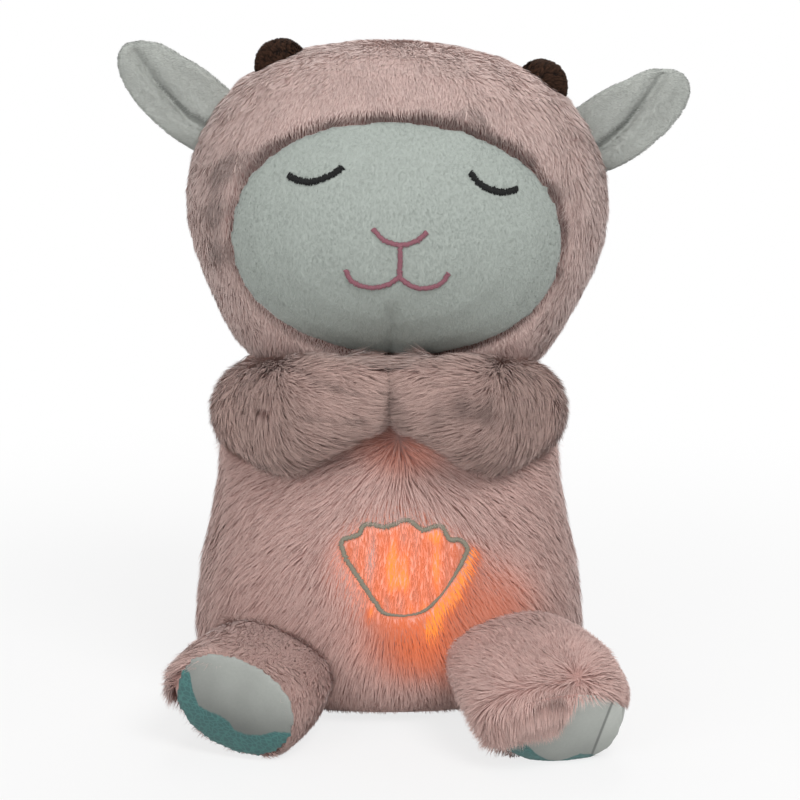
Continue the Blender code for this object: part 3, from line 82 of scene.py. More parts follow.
for leftover in list(bpy.data.objects):
    bpy.data.objects.remove(leftover)
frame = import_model()
bpy.context.view_layer.update()
nodes = frame["nodes"]

# The camera stands in front of the lamb at the photograph's height
camera_place = Vector((0.0, -1.0798, 0.3339))
camera_pitch = math.radians(79.0)
camera_lens = 116.5
camera_shift = 0.01375
picture_side = 800
sensor_width = 36.0
tilt = camera_pitch - math.pi / 2
camera_ahead = (0, math.cos(tilt), math.sin(tilt))
camera_up = (0, -math.sin(tilt), math.cos(tilt))
# Pixels for each unit of slope away from the middle of the view
focal = camera_lens / sensor_width * picture_side

# The pocket for the module: half its width, its foot, its top and its inner end
pocket_half = 0.0425
pocket_foot = 0.021
pocket_top = 0.109
pocket_end = -0.038

# The way that loose pile hangs, and how far above the floor it ends
floorward = np.array([0, 0, -1.0])
floor_gap = 0.0004

# Cells of the smaller remeshed skins
voxels = {
    "ear": 0.0011, "horn": 0.0012, "arm": 0.0018, "leg": 0.0018, "sole": 0.0010,
    "flap": 0.0016, "foam": 0.0009,
}


def paint(red, green, blue):
    """A colour given in display values from 0 to 255, as linear light."""
    return tuple(
        c / 12.92 if c <= 0.04045 else ((c + 0.055) / 1.055) ** 2.4
        for c in (red / 255, green / 255, blue / 255)
    )


def size(name, text, default):
    """A length in metres for the sidebar."""
    return bpy.props.FloatProperty(
        name=name, description=text, default=default, min=0.0, precision=5,
        subtype="DISTANCE", unit="LENGTH",
    )


def colour(name, text, *shade):
    """A colour for the sidebar."""
    return bpy.props.FloatVectorProperty(
        name=name, description=text, default=paint(*shade), min=0.0, max=1.0, subtype="COLOR",
    )


class LambSizes(bpy.types.PropertyGroup):
    """Sizes of the fur, the skins and the stitching."""

    body_fur: size("Body fur", "Length of the pile on the torso", 0.0120)
    hood_fur: size("Hood fur", "Length of the pile on the hood", 0.0056)
    arm_fur: size("Arm fur", "Length of the pile on the arms", 0.0120)
    leg_fur: size("Leg fur", "Length of the pile on the legs", 0.0100)
    face_pile: size("Face pile", "Length of the velvet on the face", 0.0010)
    ear_pile: size("Ear pile", "Length of the velvet on the ears", 0.0013)
    horn_pile: size("Horn pile", "Length of the fuzz on the horns", 0.0027)
    strand_width: size("Strand width", "Width of one strand at its root", 0.00029)
    skin_voxel: size("Skin voxel", "Cell of the remeshed skins", 0.0022)
    hood_voxel: size("Hood voxel", "Cell of the remeshed hood", 0.0015)
    face_voxel: size("Face voxel", "Cell of the remeshed face cushion", 0.0018)
    stitch_pitch: size("Stitch pitch", "Step from one satin stitch to the next", 0.00042)
    stitch_width: size("Stitch width", "Width of a row of satin stitches", 0.0020)


class LambColours(bpy.types.PropertyGroup):
    """Colours of the fabrics, the threads and the light."""

    body_root: colour("Body root", "Torso fur at the skin", 182, 142, 134)
    body_tip: colour("Body tip", "Torso fur at its tips", 210, 180, 172)
    hood_root: colour("Hood root", "Hood fur at the skin", 184, 155, 149)
    hood_tip: colour("Hood tip", "Hood fur at its tips", 214, 192, 185)
    arm_root: colour("Arm root", "Arm fur at the skin", 142, 108, 101)
    arm_tip: colour("Arm tip", "Arm fur at its tips", 200, 172, 163)
    ear: colour("Ear", "Velvet of the ears", 172, 175, 170)
    face: colour("Face", "Velvet of the face", 157, 164, 158)
    horn: colour("Horn", "Fuzz of the horns", 38, 24, 16)
    thread_dark: colour("Dark thread", "Satin stitches of the eyes", 4, 5, 5)
    thread_pink: colour("Pink thread", "Satin stitches of the nose and mouth", 132, 86, 96)
    thread_grey: colour("Grey thread", "Outline on the belly", 132, 128, 114)
    glow: colour("Glow", "Light through the belly's pile", 248, 128, 80)
    sole_white: colour("Sole", "Woven fabric of the soles", 150, 153, 148)
    sole_teal: colour("Sole wave", "Wave along the lower edge of the soles", 56, 102, 101)
    lining: colour("Lining", "Brushed lining of the pocket and flap", 170, 136, 130)


def sizes():
    return bpy.context.scene.lamb_sizes


def dye(name, share=1.0):
    """One of the lamb's colours, or a share of it."""
    return tuple(c * share for c in getattr(bpy.context.scene.lamb_colours, name))


# Wiring of materials


class Wire:
    """A socket whose value can be used in arithmetic; each sign adds its Math node."""

    def __init__(self, finish, socket):
        self.finish = finish
        self.socket = socket

    def maths(self, operation, *others):
        return self.finish.node(
            "ShaderNodeMath", {"operation": operation}, dict(enumerate((self, *others)))
        )

    def __add__(self, other):
        return self.maths("ADD", other)

    def __mul__(self, other):
        return self.maths("MULTIPLY", other)

    def __sub__(self, other):
        return self.maths("SUBTRACT", other)

    def __truediv__(self, other):
        return self.maths("DIVIDE", other)

    def __pow__(self, other):
        return self.maths("POWER", other)

    def __rsub__(self, other):
        return self * -1 + other

    __radd__ = __add__
    __rmul__ = __mul__

    def least(self, other):
        return self.maths("MINIMUM", other)

    def rise(self, low, high):
        """0 below low, 1 above high and a smooth step between them."""
        return self.finish.node(
            "ShaderNodeMapRange",
            {"interpolation_type": "SMOOTHSTEP"},
            {"Value": self, "From Min": low, "From Max": high},
        )


class Finish:
    """A material with one Principled shader, and the calls that wire its pattern."""

    def __init__(self, name, **fixed):
        self.material = bpy.data.materials.new(name)
        self.material.use_nodes = True
        self.tree = self.material.node_tree
        self.shader = self.tree.nodes["Principled BSDF"]
        for socket, value in fixed.items():
            self.shader.inputs[socket.replace("_", " ")].default_value = value
        coordinates = self.tree.nodes.new("ShaderNodeTexCoord")
        self.place = Wire(self, coordinates.outputs["Object"])

    def node(self, kind, settings, inputs, output=0):
        """Adds a node with these settings, then sets or links its sockets."""
        made = self.tree.nodes.new(kind)
        for key, value in settings.items():
            if key == "stops":
                self.stops(made.color_ramp, value)
            else:
                setattr(made, key, value)
        for key, value in inputs.items():
            if isinstance(value, Wire):
                self.tree.links.new(value.socket, made.inputs[key])
            else:
                made.inputs[key].default_value = value
        return Wire(self, made.outputs[output])

    def stops(self, ramp, stops):
        """Puts these (place, colour) stops on a ramp."""
        while len(ramp.elements) < len(stops):
            ramp.elements.new(1.0)
        for element, (at, shade) in zip(ramp.elements, stops):
            element.position = at
            element.color = (*shade, 1.0)

    def mix(self, share, first, second, blend="MIX"):
        """Two colours mixed, or blended in another way, by a share from 0 to 1."""
        inputs = {0: share}
        for key, value in ((6, first), (7, second)):
            inputs[key] = value if isinstance(value, Wire) else (*value, 1.0)
        return self.node("ShaderNodeMix", {"data_type": "RGBA", "blend_type": blend}, inputs, 2)

    def shaded(self, shade, factor):
        """A colour times a grey factor."""
        grey = self.node("ShaderNodeCombineXYZ", {}, {0: factor, 1: factor, 2: factor})
        return self.mix(1.0, shade, grey, "MULTIPLY")

    def split(self, vector=None):
        """The three parts of a vector."""
        parts = self.node("ShaderNodeSeparateXYZ", {}, {0: vector or self.place})
        outputs = parts.socket.node.outputs
        return [Wire(self, outputs[i]) for i in range(3)]

    def stretched(self, *scale):
        """The object's coordinates, scaled along each axis."""
        return self.node("ShaderNodeMapping", {}, {"Vector": self.place, "Scale": scale})

    def noise(self, scale, detail=2.0, vector=None):
        return self.node(
            "ShaderNodeTexNoise", {},
            {"Vector": vector or self.place, "Scale": scale, "Detail": detail},
        )

    def cells(self, scale, feature="F1", vector=None):
        return self.node(
            "ShaderNodeTexVoronoi", {"feature": feature},
            {"Vector": vector or self.place, "Scale": scale},
        )

    def waves(self, scale, kind, direction, axis):
        return self.node(
            "ShaderNodeTexWave", {"wave_type": kind, direction: axis},
            {"Vector": self.place, "Scale": scale}, "Fac",
        )

    def dot(self, vector, centre):
        """How far the surface lies along a vector from a centre."""
        away = self.node(
            "ShaderNodeVectorMath", {"operation": "SUBTRACT"}, {0: self.place, 1: centre}
        )
        return self.node(
            "ShaderNodeVectorMath", {"operation": "DOT_PRODUCT"}, {0: away, 1: vector}, "Value"
        )

    def far(self, centre):
        """How far the surface lies from a centre."""
        return self.node(
            "ShaderNodeVectorMath", {"operation": "DISTANCE"},
            {0: self.place, 1: centre}, "Value",
        )

    def feed(self, **inputs):
        """Links wires, or sets fixed values, on the shader."""
        for key, value in inputs.items():
            socket = self.shader.inputs[key.replace("_", " ")]
            if isinstance(value, Wire):
                self.tree.links.new(value.socket, socket)
            else:
                socket.default_value = value

    def bump(self, height, distance):
        """Raises the surface by a height from 0 to 1 over this distance in metres."""
        sockets = {"Height": height, "Distance": distance}
        self.feed(Normal=self.node("ShaderNodeBump", {}, sockets))


# Meshes


def pick(obj):
    """Makes one object the only selected and the active one."""
    bpy.ops.object.select_all(action="DESELECT")
    obj.select_set(True)
    bpy.context.view_layer.objects.active = obj
    return obj


def settle(obj):
    """Applies every modifier of an object in order."""
    pick(obj)
    for modifier in list(obj.modifiers):
        bpy.ops.object.modifier_apply(modifier=modifier.name)
    return obj


def dressed(obj, material):
    """Gives a mesh its only material."""
    obj.data.materials.clear()
    obj.data.materials.append(material)
    return obj


def form_of(name, *parts):
    """One merged mesh with the forms of these CAD nodes."""
    copies = []
    for part in parts:
        copy = bpy.data.objects.new(name, nodes[part].data.copy())
        copy.matrix_world = nodes[part].matrix_world
        bpy.context.collection.objects.link(copy)
        copies.append(copy)
    pick(copies[0])
    for copy in copies:
        copy.select_set(True)
    if len(copies) > 1:
        bpy.ops.object.join()
    bpy.ops.object.mode_set(mode="EDIT")
    bpy.ops.mesh.select_all(action="SELECT")
    bpy.ops.mesh.remove_doubles(threshold=0.00001)
    bpy.ops.object.mode_set(mode="OBJECT")
    bpy.ops.object.transform_apply(location=True, rotation=True, scale=True)
    return copies[0]


def remeshed(obj, voxel, smooth=0):
    """Turns a form into an even skin and rounds its edges."""
    modifier = obj.modifiers.new("even", "REMESH")
    modifier.mode = "VOXEL"
    modifier.voxel_size = voxel
    modifier.use_smooth_shade = True
    if smooth:
        rounding = obj.modifiers.new("round", "SMOOTH")
        rounding.factor = 0.5
        rounding.iterations = smooth
    return settle(obj)


def side_skin(side, kind, look):
    """The remeshed skin of an ear, a horn, an arm or a leg."""
    form = form_of(f"{side}_{kind}_skin", f"{side}_{kind}")
    return dressed(remeshed(form, voxels[kind], 3), look)


def points_of(obj, kind="co"):
    """The vertices' places, or another of their vectors, as an array of rows."""
    flat = np.empty(len(obj.data.vertices) * 3)
    obj.data.vertices.foreach_get(kind, flat)
    return flat.reshape(-1, 3)


def normals_of(obj):
    return points_of(obj, "normal")


def move_points(obj, points):
    obj.data.vertices.foreach_set("co", np.asarray(points, float).ravel())
    obj.data.update()


def mark(obj, values):
    """Stores a share from 0 to 1 at each vertex, for the backing's look to read."""
    marks = obj.data.attributes.new("mark", "FLOAT", "POINT")
    marks.data.foreach_set("value", np.asarray(values, np.float32))


def tree_of(obj):
    """The surface of a mesh, to measure from."""
    mesh = obj.data
    return BVHTree.FromPolygons(
        [v.co.copy() for v in mesh.vertices], [tuple(p.vertices) for p in mesh.polygons]
    )


def from_form(points, form):
    """Distance of points to a form, and their direction from it."""
    tree = tree_of(form)
    found = np.array([tree.find_nearest(Vector(p))[0] for p in points])
    return np.linalg.norm(points - found, axis=1), unit(points - found)


def inflated(obj, inset, cap, pressure=4.0, frames=20):
    """Fills a cushion by cloth pressure from an inset start, and moves no point past a cap."""
    start = points_of(obj) - normals_of(obj) * inset
    move_points(obj, start)
    cloth = obj.modifiers.new("cloth", "CLOTH").settings
    cloth.use_pressure = True
    cloth.uniform_pressure_force = pressure
    cloth.effector_weights.gravity = 0.0
    cloth.quality = 5
    cloth.tension_stiffness = 15.0
    cloth.compression_stiffness = 15.0
    cloth.bending_stiffness = 0.5
    scene = bpy.context.scene
    for step in range(1, frames + 1):
        scene.frame_set(step)
    settle(obj)
    scene.frame_set(1)
    moved = points_of(obj) - start
    far = np.linalg.norm(moved, axis=1, keepdims=True)
    far[far == 0] = 1.0
    move_points(obj, start + moved * (np.minimum(far, cap) / far))


# Fur


def smooth_step(value, low, high):
    t = np.clip((value - low) / (high - low), 0.0, 1.0)
    return t * t * (3 - 2 * t)


def bell(away, reach):
    """1 where away is 0, and softly less over a reach."""
    return np.exp(-((away / reach) ** 2))


def unit(vectors):
    length = np.linalg.norm(vectors, axis=-1, keepdims=True)
    length[length == 0] = 1.0
    return vectors / length


def swirl(points, wavelength, seed):
    """A soft vector field from a few crossing waves."""
    random = np.random.default_rng(seed)
    field = np.zeros_like(points)
    for _ in range(7):
        push = unit(random.normal(size=3))
        run = unit(random.normal(size=3)) * 2 * math.pi
        run = run / (wavelength * random.uniform(0.5, 1.6))
        field += np.sin(points @ run + random.uniform(0, 6.28))[:, None] * push
    return field / 2.6


def roots_on(skin, count, seed):
    """Points spread evenly over a skin, with the skin's direction at each."""
    random = np.random.default_rng(seed)
    mesh = skin.data
    mesh.calc_loop_triangles()
    corners = np.empty(len(mesh.loop_triangles) * 3, dtype=np.int64)
    mesh.loop_triangles.foreach_get("vertices", corners)
    corners = corners.reshape(-1, 3)
    points, normals = points_of(skin), normals_of(skin)
    a, b, c = (points[corners[:, k]] for k in range(3))
    area = np.linalg.norm(np.cross(b - a, c - a), axis=1)
    steps = (np.arange(count) + random.uniform(size=count)) / count
    chosen = np.searchsorted(np.cumsum(area) / area.sum(), steps).clip(0, len(area) - 1)
    u, v = random.uniform(size=(2, count))
    fold = u + v > 1
    u[fold], v[fold] = 1 - u[fold], 1 - v[fold]
    shares = np.stack([1 - u - v, u, v], axis=1)[:, :, None]
    spot = (points[corners[chosen]] * shares).sum(axis=1)
    facing = unit((normals[corners[chosen]] * shares).sum(axis=1))
    order = random.permutation(count)
    return spot[order], facing[order]


def outside(points, neighbour, margin):
    """Which points lie further than a margin outside a neighbour's surface."""
    tree = tree_of(neighbour)
    corners = points_of(neighbour)
    low, high = corners.min(axis=0) - margin, corners.max(axis=0) + margin
    near = np.flatnonzero(np.all((points > low) & (points < high), axis=1))
    keep = np.ones(len(points), bool)
    for index in near:
        spot = Vector(points[index])
        found, facing, _, far = tree.find_nearest(spot)
        if (spot - found).dot(facing) < 0:
            far = -far
        keep[index] = far > margin
    return keep


def clumped(curves, guides_wanted, pull, seed):
    """Draws each strand towards the nearest of some chosen strands, most at its tip."""
    random = np.random.default_rng(seed)
    chosen = random.choice(len(curves), max(1, guides_wanted), replace=False)
    tree = KDTree(len(chosen))
    for index, strand in enumerate(chosen):
        tree.insert(Vector(curves[strand, 0]), index)
    tree.balance()
    nearest = np.array([tree.find(Vector(root))[1] for root in curves[:, 0]])
    steps = np.linspace(0, 1, curves.shape[1])[None, :, None] ** 1.4
    strength = pull * random.uniform(0.35, 1.0, len(chosen))[nearest][:, None, None]
    guide = curves[chosen[nearest]]
    return curves + (guide - curves) * steps * strength


def strands(name, roots, facing, comb, length, look, seed, width=None, levels=3,
            lift=0.45, droop=0.35, tuft=16, pull=0.5, unrest=0.45, tone=None):
    """Ribbons that grow from roots on a skin along a combed direction.

    comb and length are one per root. tone, from 0 to 1, shifts each strand's colour, at random,
    as painted shade and as painted glow.
    """
    random = np.random.default_rng(seed)
    count = len(roots)
    width = width or sizes().strand_width
    flow = comb + swirl(roots, 0.022, seed + 1) * unrest + random.normal(size=(count, 3)) * 0.16
    flow = unit(flow - facing * (flow * facing).sum(axis=1, keepdims=True))
    lean = (lift * random.uniform(0.7, 1.3, count))[:, None]
    start = unit(facing * lean + flow * (1 - lean) + 1e-9)
    end = flow + facing * lean * 0.25
    end[:, 2] -= droop
    end = unit(end)
    reach = (length * random.uniform(0.72, 1.12, count))[:, None]
    steps = np.linspace(0, 1, levels)
    curves = np.stack(
        [roots + reach * (start * (t - 0.5 * t * t) + end * 0.5 * t * t) for t in steps], axis=1
    )
    curves = clumped(curves, count // tuft, pull, seed + 2)
    curves[:, :, 2] = np.maximum(curves[:, :, 2], floor_gap)
    run = unit(curves[:, -1] - curves[:, 0])
    side = unit(np.cross(run, facing) + 1e-9)
    up = unit(np.cross(side, run))
    twist = random.uniform(-1.0, 1.0, count)[:, None]
    side = side * np.cos(twist) + up * np.sin(twist)
    taper = np.interp(steps, (0, 0.35, 0.8, 1), (0.9, 1.0, 0.62, 0.0))
    half = width * 0.5 * random.uniform(0.75, 1.2, count)[:, None, None] * side[:, None, :]
    left = curves[:, :-1] - half * taper[None, :-1, None]
    right = curves[:, :-1] + half * taper[None, :-1, None]
    pairs = np.stack([left, right], axis=2).reshape(count, -1, 3)
    points = np.concatenate([pairs, curves[:, -1:]], axis=1)

    per = 2 * (levels - 1) + 1
    quads = [(2 * k, 2 * k + 1, 2 * k + 3, 2 * k + 2) for k in range(levels - 2)]
    last = (2 * (levels - 2), 2 * (levels - 2) + 1, per - 1)
    corner_row = np.array([i for quad in quads for i in quad] + list(last))
    corners = (corner_row[None, :] + np.arange(count)[:, None] * per).ravel()
    totals = np.tile([4] * len(quads) + [3], count)
    begins = np.concatenate([[0], np.cumsum(totals)[:-1]])
    mesh = bpy.data.meshes.new(name)
    mesh.vertices.add(count * per)
    mesh.vertices.foreach_set("co", points.ravel())
    mesh.loops.add(len(corners))
    mesh.loops.foreach_set("vertex_index", corners)
    mesh.polygons.add(len(totals))
    mesh.polygons.foreach_set("loop_start", begins)
    mesh.polygons.foreach_set("use_smooth", np.ones(len(totals), bool))
    mesh.update(calc_edges=True)

    tone = np.clip(random.uniform(0, 1, count) if tone is None else tone, 0, 1) * 0.98 + 0.01
    band = random.integers(0, 4, count)
    along = np.repeat(steps[:-1], 2).tolist() + [1.0]
    shift = [-0.003, 0.003] * (levels - 1) + [0.0]
    u = tone[:, None] + np.array(shift)[corner_row][None, :]
    v = (band[:, None] + 0.06 + 0.88 * np.array(along)[corner_row][None, :]) / 4
    layer = mesh.uv_layers.new(name="OFBake")
    layer.data.foreach_set("uv", np.stack([u, v], axis=2).ravel())
    soft = unit(facing[:, None, :] * 0.8 + up[:, None, :] * 0.3
                + run[:, None, :] * np.repeat(steps, 2)[None, :-1, None] * 0.12)
    mesh.normals_split_custom_set_from_vertices(soft.reshape(-1, 3).tolist())
    obj = bpy.data.objects.new(name, mesh)
    bpy.context.collection.objects.link(obj)
    return dressed(obj, look)


def strand_parts(look):
    """The wires of a strand's map: its tone, its shade and how far along it the point lies."""
    coordinates = look.node("ShaderNodeUVMap", {"uv_map": "OFBake"}, {})
    tone, rows, _ = look.split(coordinates)
    rows = rows * 4
    band = rows.maths("FLOOR")
    return tone, band / 3, (rows - band - 0.06) / 0.88


# The part of a glowing strand's tone that darkens it as painted shadow, from 0 up
painted_shadow_share = 0.12


def fur_look(name, root, tip, variety=0.16, sheen=0.25, glow=None):
    """Strands that lighten from root to tip, each a little lighter or darker than the next.

    A low tone darkens a strand as painted shade. With a glow, a strand's tone says how much of
    the lamps' light comes through as painted glow, and its lowest part paints shadow.
    """
    look = Finish(
        name, Roughness=0.85, Sheen_Weight=sheen, Sheen_Roughness=0.5, Specular_IOR_Level=0.15,
    )
    tone, band, along = strand_parts(look)
    shade = look.mix(along.rise(0.1, 0.9), root, tip)
    bright = band * variety + (1 - variety / 2)
    if glow is None:
        # Painted shade: a low tone darkens the strand, most of all below a quarter
        crease = tone.rise(0.0, 0.25) * 0.34 + tone * 0.22 + 0.54
        look.feed(Base_Color=look.shaded(shade, bright * crease))
        return look.material
    ember = tuple(c * 0.26 for c in glow)
    painted_shadow = tone.rise(0.0, painted_shadow_share) * 0.5 + 0.5
    # Painted glow: the rest of the tone tints the strand towards the glow and makes it give off
    # light
    painted_light = tone.rise(painted_shadow_share, 1.0)
    lit = look.mix(painted_light.rise(0.22, 0.80) * 0.9, shade, ember)
    look.feed(Base_Color=look.shaded(lit, bright * painted_shadow))
    hot = look.mix(painted_light.rise(0.78, 1.0), glow, paint(255, 150, 44))
    look.feed(Emission_Color=look.shaded(hot, painted_light * painted_light * 0.98), Emission_Strength=1.0)
    return look.material


def skin_look(name, shade, marked_colour=None):
    """The backing under a pile: mottled, with fine streaks, and a second colour where marked,
    which is painted shade in the hood's groove and white on the right leg by its sole's side
    panel.
    """
    look = Finish(name, Roughness=0.9, Sheen_Weight=0.2, Specular_IOR_Level=0.1)
    streak = look.noise(420.0, 3.0, look.stretched(1.0, 1.0, 0.35))
    if marked_colour is not None:
        marked = look.node("ShaderNodeAttribute", {"attribute_name": "mark"}, {}, "Fac")
        shade = look.mix(marked, shade, marked_colour)
    look.feed(Base_Color=look.shaded(shade, streak * 0.4 + 0.8))
    look.bump(streak, 0.0006)
    return look.material


# Stitching


def rounded_path(points, closed=False, per=10):
    """A smooth line through flat points."""
    points = np.asarray(points, float)
    if closed:
        padded = np.vstack([points[-1], points, points[0], points[1]])
    else:
        padded = np.vstack([2 * points[0] - points[1], points, 2 * points[-1] - points[-2]])
    t = np.linspace(0, 1, per, endpoint=False)[:, None]
    runs = []
    for k in range(1, len(padded) - 2):
        a, b, c, d = padded[k - 1 : k + 3]
        runs.append(
            0.5 * (2 * b + (c - a) * t + (2 * a - 5 * b + 4 * c - d) * t**2
                   + (3 * b - a - 3 * c + d) * t**3)
        )
    line = np.vstack(runs)
    return line if closed else np.vstack([line, points[-1]])


def sight(across, down):
    """The way from the camera through a pixel of the 800 pixel picture."""
    ray = Vector(camera_ahead)
    ray += Vector(camera_up) * ((picture_side / 2 - down) / focal)
    ray.x += (across - picture_side / 2 + camera_shift * picture_side) / focal
    return ray.normalized()


def on_picture(tree, pixels):
    """Places on a surface that the camera sees at these pixels."""
    found = []
    for across, down in pixels:
        spot, facing, _, _ = tree.ray_cast(camera_place, sight(across, down))
        if spot is None:
            raise RuntimeError(f"no surface behind the picture at {across:.0f}, {down:.0f}")
        found.append((spot, facing))
    return found


def seen_at(points):
    """The pixels of the 800 pixel picture at which the camera sees these points."""
    away = np.asarray(points) - np.array(camera_place)
    depth = away @ np.array(camera_ahead)
    above = away @ np.array(camera_up)
    across = picture_side * (0.5 - camera_shift) + focal * away[:, 0] / depth
    return np.stack([across, picture_side / 2 - focal * above / depth], axis=1)


def from_path(flat, path):
    """Distance of flat points to an open line."""
    a, b = np.array(path[:-1], float), np.array(path[1:], float)
    run = b - a
    away = flat[:, None] - a[None]
    t = np.clip((away * run).sum(axis=2) / (run**2).sum(axis=1), 0, 1)
    return np.linalg.norm(away - run * t[:, :, None], axis=2).min(axis=1)


def evenly(found, pitch, closed=False):
    """Steps of one length along a line on a surface: place, facing and way ahead."""
    spots = np.array([spot for spot, _ in found])
    facing = np.array([face for _, face in found])
    if closed:
        spots, facing = np.vstack([spots, spots[0]]), np.vstack([facing, facing[0]])
    steps = np.concatenate([[0], np.cumsum(np.linalg.norm(np.diff(spots, axis=0), axis=1))])
    wanted = np.arange(0, steps[-1], pitch)
    place = np.stack([np.interp(wanted, steps, spots[:, k]) for k in range(3)], axis=1)
    face = unit(np.stack([np.interp(wanted, steps, facing[:, k]) for k in range(3)], axis=1))
    kernel = np.ones(5) / 5
    if len(face) > 8:
        edge = np.pad(face, ((2, 2), (0, 0)), mode="edge")
        evened = [np.convolve(edge[:, k], kernel, "valid") for k in range(3)]
        face = unit(np.stack(evened, axis=1))
    ahead = unit(np.gradient(place, axis=0))
    return place, face, ahead


def one_stitch():
    """A satin stitch of unit size: a lens of thread, long across its row."""
    bpy.ops.object.select_all(action="DESELECT")
    bpy.ops.mesh.primitive_uv_sphere_add(segments=8, ring_count=5, radius=0.5)
    stitch = bpy.context.object
    bpy.ops.object.mode_set(mode="EDIT")
    bpy.ops.mesh.select_all(action="SELECT")
    bpy.ops.transform.rotate(value=math.pi / 2, orient_axis="Y", center_override=(0, 0, 0))
    bpy.ops.object.mode_set(mode="OBJECT")
    points = points_of(stitch)
    faces = [tuple(p.vertices) for p in stitch.data.polygons]
    bpy.data.objects.remove(stitch)
    return points, faces


def satin(name, rows, look, width, height, seed, sink=0.25):
    """Stitches side by side along rows; each row is place, facing and way ahead."""
    random = np.random.default_rng(seed)
    model, faces = one_stitch()
    points, polygons = [], []
    for place, face, ahead in rows:
        gap = np.linalg.norm(place[1] - place[0])
        wide = np.broadcast_to(width, len(place))
        for spot, up, run, reach in zip(place, face, ahead, wide):
            side = unit(np.cross(run, up))
            turn = random.normal(0, 0.10)
            run = unit(run + side * turn)
            side = unit(np.cross(run, up))
            spot = spot + side * reach * random.normal(0, 0.07)
            size_now = np.array([reach * random.uniform(0.85, 1.15), gap * 1.7, height])
            frame_now = np.stack([side, run, up])
            base = len(points) * len(model)
            points.append(spot + up * height * (0.5 - sink) + (model * size_now) @ frame_now)
            polygons += [tuple(base + i for i in face_row) for face_row in faces]
    mesh = bpy.data.meshes.new(name)
    mesh.from_pydata(np.vstack(points).tolist(), [], polygons)
    obj = bpy.data.objects.new(name, mesh)
    bpy.context.collection.objects.link(obj)
    pick(obj)
    bpy.ops.object.mode_set(mode="EDIT")
    bpy.ops.mesh.select_all(action="SELECT")
    bpy.ops.mesh.normals_make_consistent(inside=False)
    bpy.ops.object.mode_set(mode="OBJECT")
    bpy.ops.object.shade_smooth()
    return dressed(obj, look)


def thread_look(name, shade):
    """Rayon thread with fine strands along each stitch."""
    look = Finish(name, Sheen_Weight=0.1, Specular_IOR_Level=0.2)
    strand = look.noise(2600.0, 2.0)
    look.feed(Base_Color=look.shaded(shade, strand * 0.7 + 0.65), Roughness=strand * 0.2 + 0.5)
    look.bump(strand, 0.0001)
    return look.material


def off_rows(points, rows, margin):
    """Which points lie further than a margin from every row of stitches."""
    spots = np.vstack([place for place, _, _ in rows])
    tree = KDTree(len(spots))
    for index, spot in enumerate(spots):
        tree.insert(Vector(spot), index)
    tree.balance()
    low, high = spots.min(axis=0) - margin, spots.max(axis=0) + margin
    keep = np.ones(len(points), bool)
    for index in np.flatnonzero(np.all((points > low) & (points < high), axis=1)):
        keep[index] = tree.find(Vector(points[index]))[2] > margin
    return keep


# The belly

# Its stitched outline, seen in the picture
belly_line = (
    (342, 547), (343, 540), (352, 537), (360, 534), (363, 526), (370, 524), (383, 527),
    (393, 525), (404, 520), (412, 522), (418, 528), (424, 530), (432, 527), (441, 526),
    (446, 534), (450, 540), (460, 540), (466, 546), (466, 552), (457, 570), (443, 592),
    (426, 609), (412, 614), (397, 615), (383, 612), (376, 603), (363, 584), (349, 563),
)

# What one pixel spans on the belly
pixel = 0.0004


def to_line(flat, line):
    """Distance of flat points to a closed line, negative inside it."""
    a = np.asarray(line, float)
    b = np.roll(a, -1, axis=0)
    far = from_path(flat, [*line, line[0]])
    px, py = flat[:, 0, None], flat[:, 1, None]
    straddles = (a[None, :, 1] > py) != (b[None, :, 1] > py)
    slope = (b[:, 0] - a[:, 0]) / np.where(b[:, 1] == a[:, 1], 1e-9, b[:, 1] - a[:, 1])
    crossing = a[None, :, 0] + (py - a[None, :, 1]) * slope[None]
    inside = (straddles & (px < crossing)).sum(axis=1) % 2 == 1
    return np.where(inside, -far, far)


def spread(flat, centre, reach_across, reach_down):
    """A soft round patch in the picture, 1 at its centre."""
    away = (flat[:, 0] - centre[0]) / reach_across, (flat[:, 1] - centre[1]) / reach_down
    return np.exp(-(away[0] ** 2 + away[1] ** 2))


def patches(flat, places):
    """Soft patches added up, each with its share, its middle and its reach both ways."""
    return sum(share * spread(flat, *place) for share, *place in places)


# Where the light is stronger or weaker: share, middle, reach across and down, in pixels
inner_light = (
    (0.26, (394, 562), 14, 26), (0.20, (403, 578), 9, 9), (0.20, (436, 562), 8, 26),
    (0.34, (434, 533), 7, 5), (0.16, (418, 604), 14, 6), (-0.26, (373, 556), 6, 20),
    (-0.12, (408, 535), 7, 9), (-0.10, (396, 600), 10, 8), (-0.10, (450, 566), 6, 14),
)
outer_light = (
    (0.36, (371, 609), 4, 5), (0.24, (418, 644), 44, 34), (0.42, (410, 616), 98, 72),
    (0.32, (500, 590), 50, 62), (0.42, (402, 452), 50, 26), (0.20, (332, 566), 18, 36),
)
# Where the torso lies in the shadow of the legs and the arms
dim = (
    (0.55, (292, 628), 62, 50), (0.80, (336, 690), 24, 26), (0.70, (478, 650), 20, 26),
    (1.0, (318, 566), 30, 40), (0.70, (410, 492), 90, 22),
)
# A bright streak under the right side of the outline
light_streak = ((471, 549), (463, 570), (452, 592), (438, 608), (429, 624))


def painted_belly_glow(points, facing):
    """How much painted glow, standing for the lamps' light through the pile, each root gets,
    from 0 to 1.
    """
    flat = seen_at(points)
    away = to_line(flat, belly_line)
    front = smooth_step(-facing[:, 1], 0.1, 0.6)
    inner = 0.62 + 0.06 * np.sin(flat[:, 0] * 0.42 + 0.8 * np.sin(flat[:, 1] * 0.08))
    inner += patches(flat, inner_light)
    outer = 0.22 * np.exp(-np.maximum(away, 0) / 16)
    outer += patches(flat, outer_light)
    outer += 0.48 * bell(from_path(flat, light_streak), 5)
    return np.clip(np.where(away < 0, inner, outer), 0, 1) * front


def pile_over(skin, count, seed, away_from=(), margin=-0.0006):
    """Roots on a skin that no neighbour covers."""
    roots, facing = roots_on(skin, count, seed)
    for neighbour in away_from:
        keep = outside(roots, neighbour, margin)
        roots, facing = roots[keep], facing[keep]
    return roots, facing


